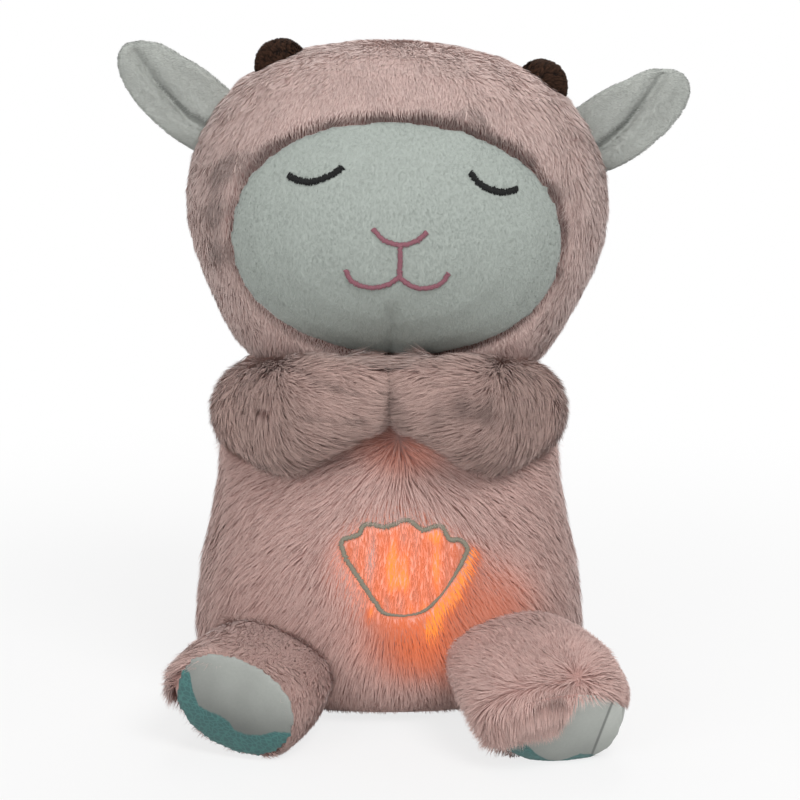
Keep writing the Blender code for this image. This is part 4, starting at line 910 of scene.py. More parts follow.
def thirds(roots):
    """Three near equal parts of some roots from left to right: name, start and rows of each."""
    order = np.argsort(roots[:, 0])
    marks = np.linspace(0, len(roots), 4).astype(int)
    sides = ("left", "middle", "right")
    return [(side, a, order[a:b]) for side, a, b in zip(sides, marks, marks[1:])]


# Pieces


class TorsoSkin(bpy.types.Operator):
    """Make the torso's skin, with the pocket for the module in its back"""

    bl_idname = "lamb.torso_skin"
    bl_label = "Torso skin"

    def execute(self, context):
        skin = remeshed(form_of("torso_skin", "body", "belly_panel"), sizes().skin_voxel, 4)
        look = Finish("backing_pink", Roughness=0.92, Sheen_Weight=0.3)
        across, deep, high = look.split()
        streak = look.noise(420.0, 3.0, look.stretched(1.0, 1.0, 0.35))
        pocket = (
            across.maths("ABSOLUTE").rise(pocket_half, pocket_half - 0.002)
            * deep.rise(pocket_end, pocket_end + 0.002)
            * high.rise(pocket_foot, pocket_foot + 0.002)
            * high.rise(pocket_top + 0.001, pocket_top - 0.001)
        )
        weave = look.noise(1400.0, 2.0)
        shade = look.mix(pocket, dye("body_root"), dye("lining"))
        look.feed(Base_Color=look.shaded(shade, streak * 0.5 + weave * 0.2 + 0.6))
        # Painted glow: the backing behind the belly gives off the lamps' light in a soft oval
        off = ((across - 0.004) / 0.034) ** 2 + ((high - 0.066) / 0.032) ** 2
        under = off.rise(1.0, 0.1) * deep.rise(-0.04, -0.055)
        look.feed(Emission_Color=look.shaded(dye("glow"), under * 0.7))
        look.feed(Emission_Strength=1.0)
        look.bump(streak, 0.0005)
        dressed(skin, look.material)
        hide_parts("body", "belly_panel")
        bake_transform(skin)
        return {"FINISHED"}


class TorsoFur(bpy.types.Operator):
    """Grow the torso's long fur, which glows at the belly"""

    bl_idname = "lamb.torso_fur"
    bl_label = "Torso fur"

    strands: bpy.props.IntProperty(name="Strands", default=160000, min=1000)

    def execute(self, context):
        skin = bpy.data.objects["torso_skin"]
        around = [nodes[n] for n in ("head", "left_arm", "right_arm")]
        around += [bpy.data.objects[f"{side}_leg_skin"] for side in ("left", "right")]
        roots, facing = pile_over(skin, self.strands, 11, around)
        x, y, z = roots.T
        pocket = (np.abs(x) < pocket_half) & (y > pocket_end)
        pocket &= (z > pocket_foot) & (z < pocket_top)
        pocket &= (y < 0.030) | (np.abs(facing[:, 0]) > 0.5) | (facing[:, 1] < 0.2)
        flap = (np.abs(x) < 0.0465) & (y > 0.022) & (z > 0.0095) & (z < 0.1125)
        away = to_line(seen_at(roots), belly_line) * pixel
        front = smooth_step(-facing[:, 1], 0.1, 0.5)
        under = (z < 0.0015) | (facing[:, 2] < -0.85)
        keep = ~pocket & ~flap & ~under & ~((np.abs(away) < 0.0010) & (front > 0.5))
        roots, facing, away, front = roots[keep], facing[keep], away[keep], front[keep]
        x, y, z = roots.T
        from_top = unit(np.stack([x - 0.004, np.zeros_like(x), z - 0.118], axis=1))
        around_body = unit(np.stack([x, y, np.zeros_like(x)], axis=1))
        low = smooth_step(-z, -0.030, -0.006)[:, None]
        comb = from_top * np.array([1.25, 0, 1.0]) * front[:, None]
        comb = unit(comb + floorward * (1 - front[:, None])) * (1 - low)
        comb = comb + unit(around_body * 0.35 + floorward) * low
        inside = (away < 0) & (front > 0.5)
        comb[inside] = floorward + around_body[inside] * 0.1
        trim = 0.34 + 0.66 * smooth_step(away, 0.0, 0.012)
        trim = np.where(front > 0.3, trim, 1.0)
        length = sizes().body_fur * trim * (1 - 0.35 * (1 - front) * (y > 0))
        length *= 0.28 + 0.72 * smooth_step(z, 0.004, 0.028)
        painted_light = painted_shadow_share + (1 - painted_shadow_share) * painted_belly_glow(roots, facing)
        # Painted shadow near the floor and where the legs and arms shade the torso
        shade = smooth_step(0.015 - z, 0.0, 0.014) * front
        shade += patches(seen_at(roots), dim) * front
        painted_light = np.clip(painted_light - painted_shadow_share * shade, 0, 1)
        look = fur_look(
            "fur_pink", dye("body_root"), dye("body_tip"), variety=0.10, glow=dye("glow"),
        )
        for index, (side, _, chosen) in enumerate(thirds(roots)):
            fur = strands(
                f"torso_fur_{side}", roots[chosen], facing[chosen], comb[chosen],
                length[chosen], look, 40 + index, lift=0.34, droop=0.30, tuft=7, pull=0.30,
                unrest=0.32, tone=painted_light[chosen],
            )
            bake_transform(fur)
        return {"FINISHED"}


class BellyOutline(bpy.types.Operator):
    """Stitch the outline on the belly"""

    bl_idname = "lamb.belly_outline"
    bl_label = "Belly outline"

    # Where the pile covers the sides of its stitches
    worn = ((1.0, (446, 592), 22, 26), (1.0, (408, 616), 24, 8))

    def execute(self, context):
        tree = tree_of(bpy.data.objects["torso_skin"])
        found = on_picture(tree, rounded_path(belly_line, closed=True, per=8))
        rows = [evenly(found, sizes().stitch_pitch, closed=True)]
        look = thread_look("thread_grey", dye("thread_grey"))
        flat = seen_at(rows[0][0])
        width = sizes().stitch_width * (1.1 - 0.65 * np.clip(patches(flat, self.worn), 0, 1))
        line = satin("belly_outline", rows, look, width, 0.0018, 71, sink=0.0)
        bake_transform(line)
        return {"FINISHED"}


class Hood(bpy.types.Operator):
    """Make the hooded head and grow its short fur"""

    bl_idname = "lamb.hood"
    bl_label = "Hood"

    strands: bpy.props.IntProperty(name="Strands", default=150000, min=1000)

    # Patches of painted shade on its left and right, seen in the picture
    shaded_sides = ((0.85, (216, 220), 15, 66), (0.35, (582, 190), 34, 80))

    def execute(self, context):
        skin = remeshed(form_of("hood_skin", "head"), sizes().hood_voxel, 4)
        points = points_of(skin)
        near, _ = from_form(points, nodes["face_panel"])
        groove = bell(near, 0.0022)
        # The mark paints shade into the backing along the groove, which is also pressed in
        mark(skin, groove)
        move_points(skin, points - normals_of(skin) * (0.0012 * groove)[:, None])
        # The backing takes the tips' lighter colour, painted light against the shade between
        # the strands
        dressed(skin, skin_look("backing_hood", dye("hood_tip"), paint(120, 86, 82)))
        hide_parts("head")
        around = [nodes[n] for n in ("body", "left_arm", "right_arm")]
        around += [bpy.data.objects[f"{side}_horn_skin"] for side in ("left", "right")]
        roots, facing = pile_over(skin, self.strands, 21, around)
        near, away = from_form(roots, nodes["face_panel"])
        keep = outside(roots, nodes["face_panel"], 0.0003)
        roots, facing, near, away = roots[keep], facing[keep], near[keep], away[keep]
        crown = np.array([0.004, 0.012, 0.275])
        radial = unit((roots - crown) * np.array([1, 1, 0.0]))
        top = smooth_step(facing[:, 2], 0.55, 0.95)[:, None]
        comb = unit(floorward + radial * (0.25 + 1.2 * top))
        rim = np.exp(-near / 0.004)
        comb = comb * (1 - 0.5 * rim[:, None]) - away * 0.3 * rim[:, None]
        length = sizes().hood_fur * (1 - 0.6 * rim)
        # Painted shade: the fur darkens along the seam with the face, near the upper part of
        # the face and in the shaded patches on its sides
        tone = 0.72 + 0.3 * swirl(roots, 0.03, 77)[:, 0] - 0.7 * np.exp(-near / 0.0016)
        flat = seen_at(roots)
        above = np.exp(-near / 0.011) * smooth_step(230 - flat[:, 1], 0, 80)
        sides = patches(flat, self.shaded_sides) * smooth_step(-facing[:, 1], -0.1, 0.2)
        tone = np.clip(tone - 0.62 * above - sides, 0, 1)
        look = fur_look("fur_hood", dye("hood_root"), dye("hood_tip"), variety=0.07)
        for side, start, chosen in thirds(roots):
            fur = strands(
                f"hood_fur_{side}", roots[chosen], facing[chosen], comb[chosen],
                length[chosen], look, 60 + start % 7, lift=0.34, droop=0.15, tuft=5,
                pull=0.15, tone=tone[chosen],
            )
            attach(fur, "lamb")
        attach(skin, "lamb")
        return {"FINISHED"}


class Face(bpy.types.Operator):
    """Fill the face cushion, stitch the eyes, nose and mouth, and grow its velvet"""

    bl_idname = "lamb.face"
    bl_label = "Face"

    strands: bpy.props.IntProperty(name="Strands", default=52000, min=1000)

    eyes = (
        ((289, 175), (297, 180), (311, 182), (328, 177), (343, 167)),
        ((470, 173), (480, 184), (494, 191), (506, 192), (517, 189)),
    )
    nose = (
        ((373, 229), (384, 240), (400, 245), (416, 241), (427, 232)),
        ((400, 245), (400, 262), (399, 277)),
        ((346, 270), (352, 281), (369, 287), (386, 285), (399, 277)),
        ((399, 277), (412, 286), (426, 288), (441, 283), (449, 273)),
    )

    def dart(self, x, z, front):
        """Depth from 0 to 1 of the seam that draws in the chin."""
        way = np.clip((0.1775 - z) / 0.010, 0, 1)
        return bell(x - 0.0008, 0.0026) * way * way * (3 - 2 * way) * front

    def rows(self, tree, lines):
        pitch = sizes().stitch_pitch
        return [evenly(on_picture(tree, rounded_path(line)), pitch) for line in lines]

    def execute(self, context):
        face = remeshed(form_of("face_cushion", "face_panel"), sizes().face_voxel, 8)
        inflated(face, 0.0012, 0.0030)
        points = points_of(face)
        chin = self.dart(points[:, 0], points[:, 2], points[:, 1] < -0.02)
        points[:, 1] += 0.0022 * chin
        move_points(face, points)
        look = Finish("velvet_white", Roughness=0.85, Sheen_Weight=0.35, Sheen_Roughness=0.4)
        streak = look.noise(620.0, 3.0, look.stretched(1.0, 1.0, 0.7))
        cloud = look.noise(60.0, 2.0)
        _, _, high = look.split()
        # Painted shade: the face darkens towards its bottom
        lower = high.rise(0.200, 0.160) * -0.12 + 1
        shade = look.shaded(dye("face"), streak * 0.2 + cloud * 0.06 + 0.78)
        look.feed(Base_Color=look.shaded(shade, lower))
        look.bump(streak, 0.0003)
        dressed(face, look.material)
        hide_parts("face_panel")
        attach(face, "lamb")

        tree = tree_of(face)
        eye_rows = self.rows(tree, self.eyes)
        nose_rows = self.rows(tree, self.nose)
        width = sizes().stitch_width
        eyes = satin(
            "eye_stitches", eye_rows, thread_look("thread_dark", dye("thread_dark")),
            width * 1.4, 0.0015, 31,
        )
        nose = satin(
            "nose_and_mouth_stitches", nose_rows,
            thread_look("thread_pink", dye("thread_pink")), width * 1.1, 0.0015, 32,
        )
        for piece in (eyes, nose):
            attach(piece, "lamb")

        roots, facing = roots_on(face, self.strands, 33)
        keep = facing[:, 1] < -0.02
        keep &= off_rows(roots, eye_rows + nose_rows, width * 0.58)
        roots, facing = roots[keep], facing[keep]
        comb = floorward + roots * np.array([3.0, 0, 0])
        flat = seen_at(roots)
        # Painted light and shade: the pile lightens away from the middle of the face, and a
        # painted shadow darkens it just above the eyes
        off = np.hypot((flat[:, 0] - 395) / 165, (flat[:, 1] - 262) / 150)
        tone = 0.42 + 0.10 * swirl(roots, 0.02, 35)[:, 0] + 0.58 * smooth_step(off, 0.42, 0.95)
        for line in self.eyes:
            above = [(across, down - 4) for across, down in line]
            tone -= 0.55 * bell(from_path(flat, above), 3.0)
        pile = fur_look("velvet_pile", dye("face", 0.93), dye("face"), variety=0.04)
        fur = strands(
            "face_pile", roots, facing, comb, np.full(len(roots), sizes().face_pile), pile, 34,
            width=sizes().strand_width * 0.85, lift=0.4, droop=0.1, tuft=10, pull=0.35,
            unrest=0.9, tone=np.clip(tone, 0, 1),
        )
        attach(fur, "lamb")
        return {"FINISHED"}


class Ears(bpy.types.Operator):
    """Make both ears, with a crease down the front and short velvet all over"""

    bl_idname = "lamb.ears"
    bl_label = "Ears"

    strands: bpy.props.IntProperty(name="Strands on each ear", default=15000, min=500)

    # The creases, seen in the picture
    creases = {
        "left": ((134, 57), (148, 71), (166, 91), (188, 111), (218, 127)),
        "right": ((666, 76), (654, 91), (640, 106), (626, 121), (612, 131), (594, 145)),
    }

    def execute(self, context):
        look = fur_look("velvet_ear", dye("ear", 0.92), dye("ear"), variety=0.06)
        backing = skin_look("backing_ear", dye("ear", 0.82))
        for seed, side in ((51, "left"), (52, "right")):
            node = f"{side}_ear"
            skin = side_skin(side, "ear", backing)
            root, tip = ear_line(side)
            ahead = unit(tip - root)
            points, facing = points_of(skin), normals_of(skin)
            along = (points - root) @ ahead / np.linalg.norm(tip - root)
            wide = unit(np.cross(ahead, np.array([0, 1.0, 0])))
            wide *= np.sign(wide[2])
            across = (points - root) @ wide
            above = smooth_step(across, -0.002, 0.007)
            below = smooth_step(-across, 0.0, 0.008)
            taller = 0.0024 * above * smooth_step(along, 0.45, 0.75)
            taller -= 0.0030 * below * smooth_step(0.7 - along, 0, 0.5)
            crease = from_path(seen_at(points), self.creases[side])
            front = np.clip(-facing[:, 1], 0, 1)
            relief = -0.0024 * bell(crease, 3.5)
            relief += 0.0010 * bell(crease - 12, 7)
            points = points + wide * taller[:, None] + facing * (relief * front)[:, None]
            move_points(skin, points)
            body = f"{side}_ear_body"
            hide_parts(node)
            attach(skin, body)
            roots, facing = pile_over(skin, self.strands, seed, [nodes["head"]], 0.0)
            comb = np.tile(ahead + np.array([0, 0, -0.35]), (len(roots), 1))
            across = (roots - root) @ wide
            crease = from_path(seen_at(roots), self.creases[side])
            # Painted shade: the pile is lighter on the upper half than on the lower, and darker
            # along the crease on the front
            tone = 0.5 + 0.5 * smooth_step(across, 0.001, 0.009)
            tone -= 0.25 * smooth_step(-across, -0.001, 0.005)
            tone -= 0.3 * bell(crease, 3) * (facing[:, 1] < 0)
            fur = strands(
                f"{side}_ear_pile", roots, facing, comb,
                np.full(len(roots), sizes().ear_pile), look, seed + 4, lift=0.42, droop=0.1,
                tuft=10, pull=0.4, tone=np.clip(tone, 0, 1),
            )
            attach(fur, body)
        return {"FINISHED"}


def ear_line(side):
    """Root and tip of an ear, from its own box."""
    low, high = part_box(f"{side}_ear")
    middle = (low.y + high.y) / 2
    points = points_of(nodes[f"{side}_ear"])
    sign = -1 if side == "left" else 1
    inner = points[np.argsort(points[:, 0] * sign)[:12]].mean(axis=0)
    outer = points[np.argsort(points[:, 0] * sign)[-12:]].mean(axis=0)
    return np.array([inner[0], middle, inner[2]]), np.array([outer[0], middle, outer[2]])


class Horns(bpy.types.Operator):
    """Make both horns and their short dark fuzz"""

    bl_idname = "lamb.horns"
    bl_label = "Horns"

    strands: bpy.props.IntProperty(name="Strands on each horn", default=12000, min=500)

    # How far each horn sits from its model, as the hood's pile leans on it
    leans = {"left": (0.0028, 0.0, -0.0004), "right": (0.0028, 0.0, -0.0034)}

    def execute(self, context):
        look = fur_look(
            "fuzz_brown", dye("horn", 0.3), dye("horn", 2.4), variety=0.9, sheen=0.0,
        )
        backing = skin_look("backing_brown", dye("horn", 0.5))
        for seed, side in ((81, "left"), (82, "right")):
            node = f"{side}_horn"
            skin = side_skin(side, "horn", backing)
            move_points(skin, points_of(skin) + np.array(self.leans[side]))
            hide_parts(node)
            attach(skin, "lamb")
            roots, facing = pile_over(skin, self.strands, seed, [nodes["head"]], 0.0)
            comb = swirl(roots, 0.004, seed) + np.array([0, 0, 0.3])
            fur = strands(
                f"{side}_horn_fuzz", roots, facing, comb,
                np.full(len(roots), sizes().horn_pile), look, seed + 3, lift=0.60, droop=0.0,
                tuft=20, pull=0.9, unrest=1.4,
            )
            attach(fur, "lamb")
        return {"FINISHED"}


class Arms(bpy.types.Operator):
    """Make both arms and grow their long fur"""

    bl_idname = "lamb.arms"
    bl_label = "Arms"

    strands: bpy.props.IntProperty(name="Strands on each arm", default=48000, min=500)

    # Patches and lines of painted shade on the fur, seen in the picture
    painted_shade_patches = ((0.3, (478, 408), 70, 34), (0.3, (396, 408), 34, 26))
    painted_shade_lines = (
        ((296, 410), (320, 415), (344, 417)),
        ((288, 372), (306, 384), (338, 391), (386, 391)),
    )

    def shaped(self, skin, sign):
        """Draws up the underside towards the paw and makes the paw blunt above."""
        points = points_of(skin)
        along = points[:, 0] * sign
        high = points[:, 2]
        top, middle = high.max(), (high.max() + high.min()) / 2
        high = top - (top - high) * (1 - 0.30 * smooth_step(0.052 - along, 0.0, 0.040))
        blunt = 1 + 0.8 * smooth_step(0.024 - along, 0.0, 0.022)
        raised = np.minimum(middle + (high - middle) * blunt, top)
        points[:, 2] = np.where(high > middle, raised, high)
        move_points(skin, points)

    def execute(self, context):
        look = fur_look("fur_arm", dye("arm_root"), dye("arm_tip"))
        # The backing is lighter than the roots, painted light that lifts the shade between the
        # strands
        backing = skin_look("backing_arm", dye("arm_tip", 0.72))
        for seed, side, sign in ((91, "left", -1), (92, "right", 1)):
            node, body = f"{side}_arm", f"{side}_arm_body"
            skin = side_skin(side, "arm", backing)
            self.shaped(skin, sign)
            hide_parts(node)
            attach(skin, body)
            around = [nodes["body"], nodes["head"]]
            roots, facing = pile_over(skin, self.strands, seed, around)
            keep = roots[:, 0] * sign > 0.0006
            roots, facing = roots[keep], facing[keep]
            along = roots[:, 0] * sign
            elbow = smooth_step(along, 0.030, 0.062)
            low = smooth_step(0.116 - roots[:, 2], 0.0, 0.010)[:, None]
            inward = np.array([-sign * 1.0, -0.3, -0.12])
            hanging = np.array([-sign * 0.35, 0.0, -1.0])
            comb = inward * (1 - low) + hanging * low
            falling = np.array([-sign * 0.25, -0.9, -0.9])
            falling = falling + unit(facing * [1, 0, 0]) * 0.5
            comb = comb * (1 - elbow[:, None]) + falling * elbow[:, None]
            paw = smooth_step(0.016 - along, 0.0, 0.014)
            length = sizes().arm_fur * (1 - 0.35 * paw) * (1 - 0.25 * elbow)
            flat = seen_at(roots)
            # The fur is lighter towards the outer ends; painted light brightens the elbows'
            # upward faces, and painted shade darkens the patches and lines on the front
            outer = smooth_step(np.abs(flat[:, 0] - 388), 120, 165)
            tone = 0.42 + 0.14 * swirl(roots, 0.012, 99)[:, 0] + 0.5 * outer * (side == "left")
            tone += 0.25 * outer * (side == "right")
            tone += 0.35 * smooth_step(facing[:, 2], 0.4, 0.9) * elbow
            depth = patches(flat, self.painted_shade_patches)
            for fold in self.painted_shade_lines:
                depth += 0.4 * bell(from_path(flat, fold), 3.5)
            tone -= depth * smooth_step(-facing[:, 1], 0.0, 0.3)
            fur = strands(
                f"{side}_arm_fur", roots, facing, comb, length, look, seed + 3,
                lift=0.34 + 0.16 * elbow, droop=0.15, tuft=8, pull=0.4, unrest=0.3,
                tone=np.clip(tone, 0, 1),
            )
            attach(fur, body)
        return {"FINISHED"}


class Legs(bpy.types.Operator):
    """Make both legs and grow their fur around the soles"""

    bl_idname = "lamb.legs"
    bl_label = "Legs"

    strands: bpy.props.IntProperty(name="Strands on each leg", default=47000, min=500)

    # Seen in the picture: where the right leg's fur parts, and the bare side of its sole
    parting = ((530, 704), (555, 693), (575, 683))
    side_panel = ((596, 748), (607, 716), (618, 706), (640, 700), (650, 775), (590, 775))
    # The upper part of the right sole that the fur hangs over, and roots on the whole sole
    fringe_roots = 40000
    fringe = (
        (480, 742), (492, 737), (506, 730), (530, 724), (550, 718), (562, 706), (576, 694),
        (596, 688), (560, 670), (480, 690), (466, 720),
    )
    # The edge of the left sole that shows no fur below it
    bare_edge = ((160, 690), (178, 694), (195, 716), (214, 736), (236, 757), (262, 762))

    def execute(self, context):
        look = fur_look("fur_leg", dye("body_root"), dye("body_tip"), variety=0.12)
        backing = skin_look("backing_leg", dye("body_root"), dye("ear"))
        for seed, side in ((101, "left"), (102, "right")):
            node = f"{side}_leg"
            skin = side_skin(side, "leg", backing)
            place, ahead, _, up = sole_axes(side)
            points = trodden(points_of(skin), side)
            lower = 0.16 if side == "right" else 0.13
            points[:, 2] *= 1 - lower * smooth_step(points[:, 2], 0.015, 0.050)
            if side == "left":
                points[:, 0] -= 0.0050 * smooth_step(points[:, 0], -0.060, -0.028)
            move_points(skin, points)
            mark(skin, self.bare(points, side, place, ahead))
            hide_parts(node)
            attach(skin, "lamb")
            roots, facing = pile_over(skin, self.strands, seed, [nodes["body"]])
            keep = outside(roots, nodes[f"{side}_sole"], 0.0004)
            keep &= ~((facing @ ahead > 0.9) & ((roots - place) @ ahead > -0.004))
            keep &= ~self.bare(roots, side, place, ahead)
            if side == "left":
                keep &= from_path(seen_at(roots), self.bare_edge) > 9
            roots, facing = roots[keep], facing[keep]
            if side == "right":
                more, more_facing = roots_on(nodes["right_sole"], self.fringe_roots, seed + 9)
                flat = seen_at(more)
                keep = (more_facing @ ahead > 0.3) & (to_line(flat, self.fringe) < 0)
                keep &= ~self.bare(more, side, place, ahead)
                roots = np.vstack([roots, more[keep]])
                facing = np.vstack([facing, more_facing[keep]])
            rim, _ = from_form(roots, nodes[f"{side}_sole"])
            on_sole = rim < 0.0003
            rim[on_sole] = 1.0
            # Painted shade: the fur darkens where it meets the sole
            tone = 0.6 + 0.35 * swirl(roots, 0.012, seed)[:, 0] - 0.7 * np.exp(-rim / 0.0012)
            if side == "left":
                tone = 0.42 + 0.12 * swirl(roots, 0.02, seed)[:, 0]
                tone = tone - 0.3 * np.exp(-rim / 0.0010)
            from_middle = roots - place
            around = unit(from_middle - (from_middle @ ahead)[:, None] * ahead)
            near = smooth_step((roots - place) @ ahead, -0.03, -0.002)[:, None]
            comb = ahead * (0.8 - 0.6 * near) + around * 0.9 * near + np.array([0, 0, -0.25])
            share = 0.50 + 0.75 * smooth_step(-0.055 - roots[:, 0], 0.0, 0.020)
            curl = 0.40
            if side == "right":
                parted = [spot for spot, _ in on_picture(tree_of(skin), self.parting)]
                comb = roots - nearest_on(roots, parted)
                comb = comb / (np.linalg.norm(comb, axis=1)[:, None] + 0.0030)
                comb = comb + np.array([0, 0, -0.1])
                flat = seen_at(roots)
                hang = smooth_step((roots - place) @ ahead, -0.012, -0.004)
                hang = hang * smooth_step((roots - place) @ up, 0.0, 0.006)
                hang = (hang * smooth_step(588 - flat[:, 0], 0, 16))[:, None]
                comb = comb * (1 - hang) + (ahead * 0.5 + floorward) * hang
                share = 1.15 - 0.30 * smooth_step(roots[:, 2], 0.026, 0.044)
                share = share * (1 + 0.1 * hang[:, 0])
                share = share * (1 - 0.6 * smooth_step(flat[:, 0], 600, 620))
                # Painted shade along the parting
                near_parting = bell(from_path(flat, self.parting), 4)
                tone = tone - 0.6 * near_parting * ~on_sole + 0.15 * on_sole
                curl = 0.35
            length = sizes().leg_fur * share * (1 - 0.1 * near[:, 0])
            fur = strands(
                f"{side}_leg_fur", roots, facing, comb, length, look, seed + 3,
                lift=0.32, droop=0.25, tuft=7, pull=0.22, unrest=curl, tone=np.clip(tone, 0, 1),
            )
            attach(fur, "lamb")
        return {"FINISHED"}

    def bare(self, points, side, place, ahead):
        """Which points lie on the white side of the right sole."""
        if side == "left":
            return np.zeros(len(points), bool)
        close = (points - place) @ ahead > -0.020
        return (to_line(seen_at(points), self.side_panel) < 0) & close


def nearest_on(points, path):
    """The place on an open line that lies nearest to each point."""
    a, b = np.array(path[:-1]), np.array(path[1:])
    run = b - a
    t = ((points[:, None] - a[None]) * run).sum(axis=2) / (run**2).sum(axis=1)
    spots = a + run * np.clip(t, 0, 1)[:, :, None]
    best = np.linalg.norm(points[:, None] - spots, axis=2).argmin(axis=1)
    return spots[np.arange(len(points)), best]


def trodden(points, side):
    """Points of the right foot, with its outer side let down to the floor."""
    if side == "right":
        low = smooth_step(0.026 - points[:, 2], 0.0, 0.018)
        outer = smooth_step(points[:, 0], 0.042, 0.070)
        points[:, 2] = np.maximum(points[:, 2] - 0.0058 * low * outer, 0.0006)
    return points


def sole_axes(side):
    """Middle of a sole, the way it faces, and its directions across and up."""
    points = points_of(nodes[f"{side}_sole"])
    centre = points.mean(axis=0)
    spread_of = np.linalg.svd(points - centre, full_matrices=False)[2]
    ahead = spread_of[2] * (1 if spread_of[2][1] < 0 else -1)
    across = spread_of[0] * (1 if spread_of[0][0] > 0 else -1)
    up = np.cross(across, ahead)
    up = up * (1 if up[2] > 0 else -1)
    return centre, ahead, across, up


class Soles(bpy.types.Operator):
    """Make both padded soles, with a wave of colour along their lower edge"""

    bl_idname = "lamb.soles"
    bl_label = "Soles"

    # The wave's upper edge, seen in the picture
    waves_of = {
        "left": (
            (179, 676), (184, 668), (190, 673), (194, 690), (200, 704), (212, 710), (222, 713),
            (232, 720), (236, 728), (248, 733), (262, 734), (275, 731), (286, 733),
        ),
        "right": (
            (496, 742), (506, 737), (516, 736), (526, 739), (534, 746), (545, 751),
            (556, 751), (566, 747), (577, 743), (587, 745), (596, 749),
        ),
    }

    def fabric(self, side):
        """Woven fabric with the wave and small scales in it."""
        place, ahead, across, up = sole_axes(side)
        look = Finish(f"sole_weave_{side}", Roughness=0.75, Sheen_Weight=0.2)
        points = points_of(nodes[f"{side}_sole"])
        half_wide = np.abs((points - place) @ across).max()
        half_high = np.abs((points - place) @ up).max()
        wide = look.dot(tuple(across), tuple(place)) / half_wide
        high = look.dot(tuple(up), tuple(place)) / half_high
        flat = Vector(ahead)
        depth = (Vector(place) - camera_place).dot(flat)
        rays = [sight(*spot) for spot in self.waves_of[side]]
        line = np.array([camera_place + ray * (depth / ray.dot(flat)) for ray in rays])
        away = line - place
        marks = np.stack([away @ across / half_wide, away @ up / half_high], 1)
        marks = marks[marks[:, 0].argsort()]
        stops = [((a + 1) / 2, (b * 0.5 + 0.5,) * 3) for a, b in marks]
        edge = look.node("ShaderNodeValToRGB", {"stops": stops}, {"Fac": wide * 0.5 + 0.5})
        edge = look.node("ShaderNodeRGBToBW", {}, {0: edge}) * 2 - 1
        wave = (high - edge + look.noise(700.0, 2.0) * 0.05 - 0.025).rise(0.03, -0.03)
        plane = look.node("ShaderNodeCombineXYZ", {}, {0: wide * 11.0, 1: high * 13.0, 2: 0.0})
        scale = look.cells(1.0, "DISTANCE_TO_EDGE", plane).rise(0.0, 0.16)
        threads = look.noise(900.0, 2.0)
        teal = look.mix(scale, paint(70, 126, 122), dye("sole_teal"))
        # Painted light: the sole brightens towards its top, with soft blotches
        brightness = high.rise(-0.6, 0.9) * 0.58 + look.noise(60.0, 1.0) * 0.30 + 0.22
        if side == "right":
            # The side panel, past a seam seen between two pixels
            across_seam = unit(np.cross(sight(607, 716), sight(596, 744)))
            seam = look.dot(tuple(across_seam), tuple(camera_place))
            seam = seam * float(np.sign(np.array(sight(625, 730)) @ across_seam))
            # Painted light brightens the whole right sole; past the seam its side panel is
            # whiter, and the seam is a dark line
            brightness = brightness * 0.8 + 0.70
            brightness = brightness * (seam.rise(0.0, 0.0010) * 0.22 + 1)
            line = seam.maths("ABSOLUTE").rise(0.0007, 0.0002)
            brightness = brightness * (1 - line * 0.55)
        shade = look.mix(
            wave, look.shaded(dye("sole_white"), brightness),
            look.shaded(teal, brightness * 0.5 + 0.5),
        )
        look.feed(Base_Color=look.shaded(shade, threads * 0.12 + 0.94))
        weave = look.waves(900.0, "BANDS", "bands_direction", "X")
        weft = look.waves(900.0, "BANDS", "bands_direction", "Z")
        look.bump(weave * 0.5 + weft * 0.5 + threads * 0.6, 0.00006)
        return look.material

    def execute(self, context):
        for side in ("left", "right"):
            node = f"{side}_sole"
            sole = remeshed(form_of(f"{side}_sole_pad", node), voxels["sole"], 4)
            inflated(sole, 0.0002, 0.0008, pressure=2.0, frames=8)
            move_points(sole, trodden(points_of(sole), side))
            dressed(sole, self.fabric(side))
            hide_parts(node)
            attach(sole, "lamb")
        return {"FINISHED"}


class BackFlap(bpy.types.Operator):
    """Make the furred flap over the pocket and the two halves of its tape"""

    bl_idname = "lamb.back_flap"
    bl_label = "Back flap"

    strands: bpy.props.IntProperty(name="Strands", default=30000, min=500)

    def execute(self, context):
        flap = remeshed(form_of("flap_pad", "back_flap"), voxels["flap"], 2)
        inflated(flap, 0.0003, 0.0012, pressure=2.0, frames=10)
        look = Finish("brushed_lining", Roughness=0.9, Sheen_Weight=0.3)
        nap = look.noise(900.0, 3.0)
        look.feed(Base_Color=look.shaded(dye("lining"), nap * 0.5 + 0.75))
        look.bump(nap, 0.0002)
        dressed(flap, look.material)
        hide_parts("back_flap")
        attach(flap, "flap")
        # Less than half of the roots lie on its outer side
        roots, facing = roots_on(flap, int(self.strands * 2.2), 121)
        keep = facing[:, 1] > 0.25
        roots, facing = roots[keep], facing[keep]
        comb = np.tile(np.array([0, 0.1, -1.0]), (len(roots), 1))
        fur = strands(
            "flap_fur", roots, facing, comb,
            np.full(len(roots), sizes().body_fur * 0.65),
            fur_look("fur_flap", dye("body_root"), dye("body_tip")),
            122, levels=4, lift=0.42, droop=0.3, tuft=18, pull=0.6,
        )
        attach(fur, "flap")

        tapes = ("hook_strip", "lamb", 0.0002), ("loop_strip", "flap", 0.0003)
        for strip, body, height in tapes:
            tape = form_of(strip.replace("strip", "tape"), strip)
            edge = tape.modifiers.new("edge", "BEVEL")
            edge.width = 0.0003
            edge.segments = 2
            edge.limit_method = "ANGLE"
            settle(tape)
            bpy.ops.object.shade_smooth_by_angle(angle=math.radians(40))
            look = Finish(f"{strip}_weave", Roughness=0.8)
            fluff = look.cells(1700.0) if body == "lamb" else look.noise(2200.0, 3.0)
            look.feed(Base_Color=look.shaded(dye("lining"), fluff * 0.6 + 0.7))
            look.bump(fluff, height)
            dressed(tape, look.material)
            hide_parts(strip)
            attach(tape, body)
        return {"FINISHED"}


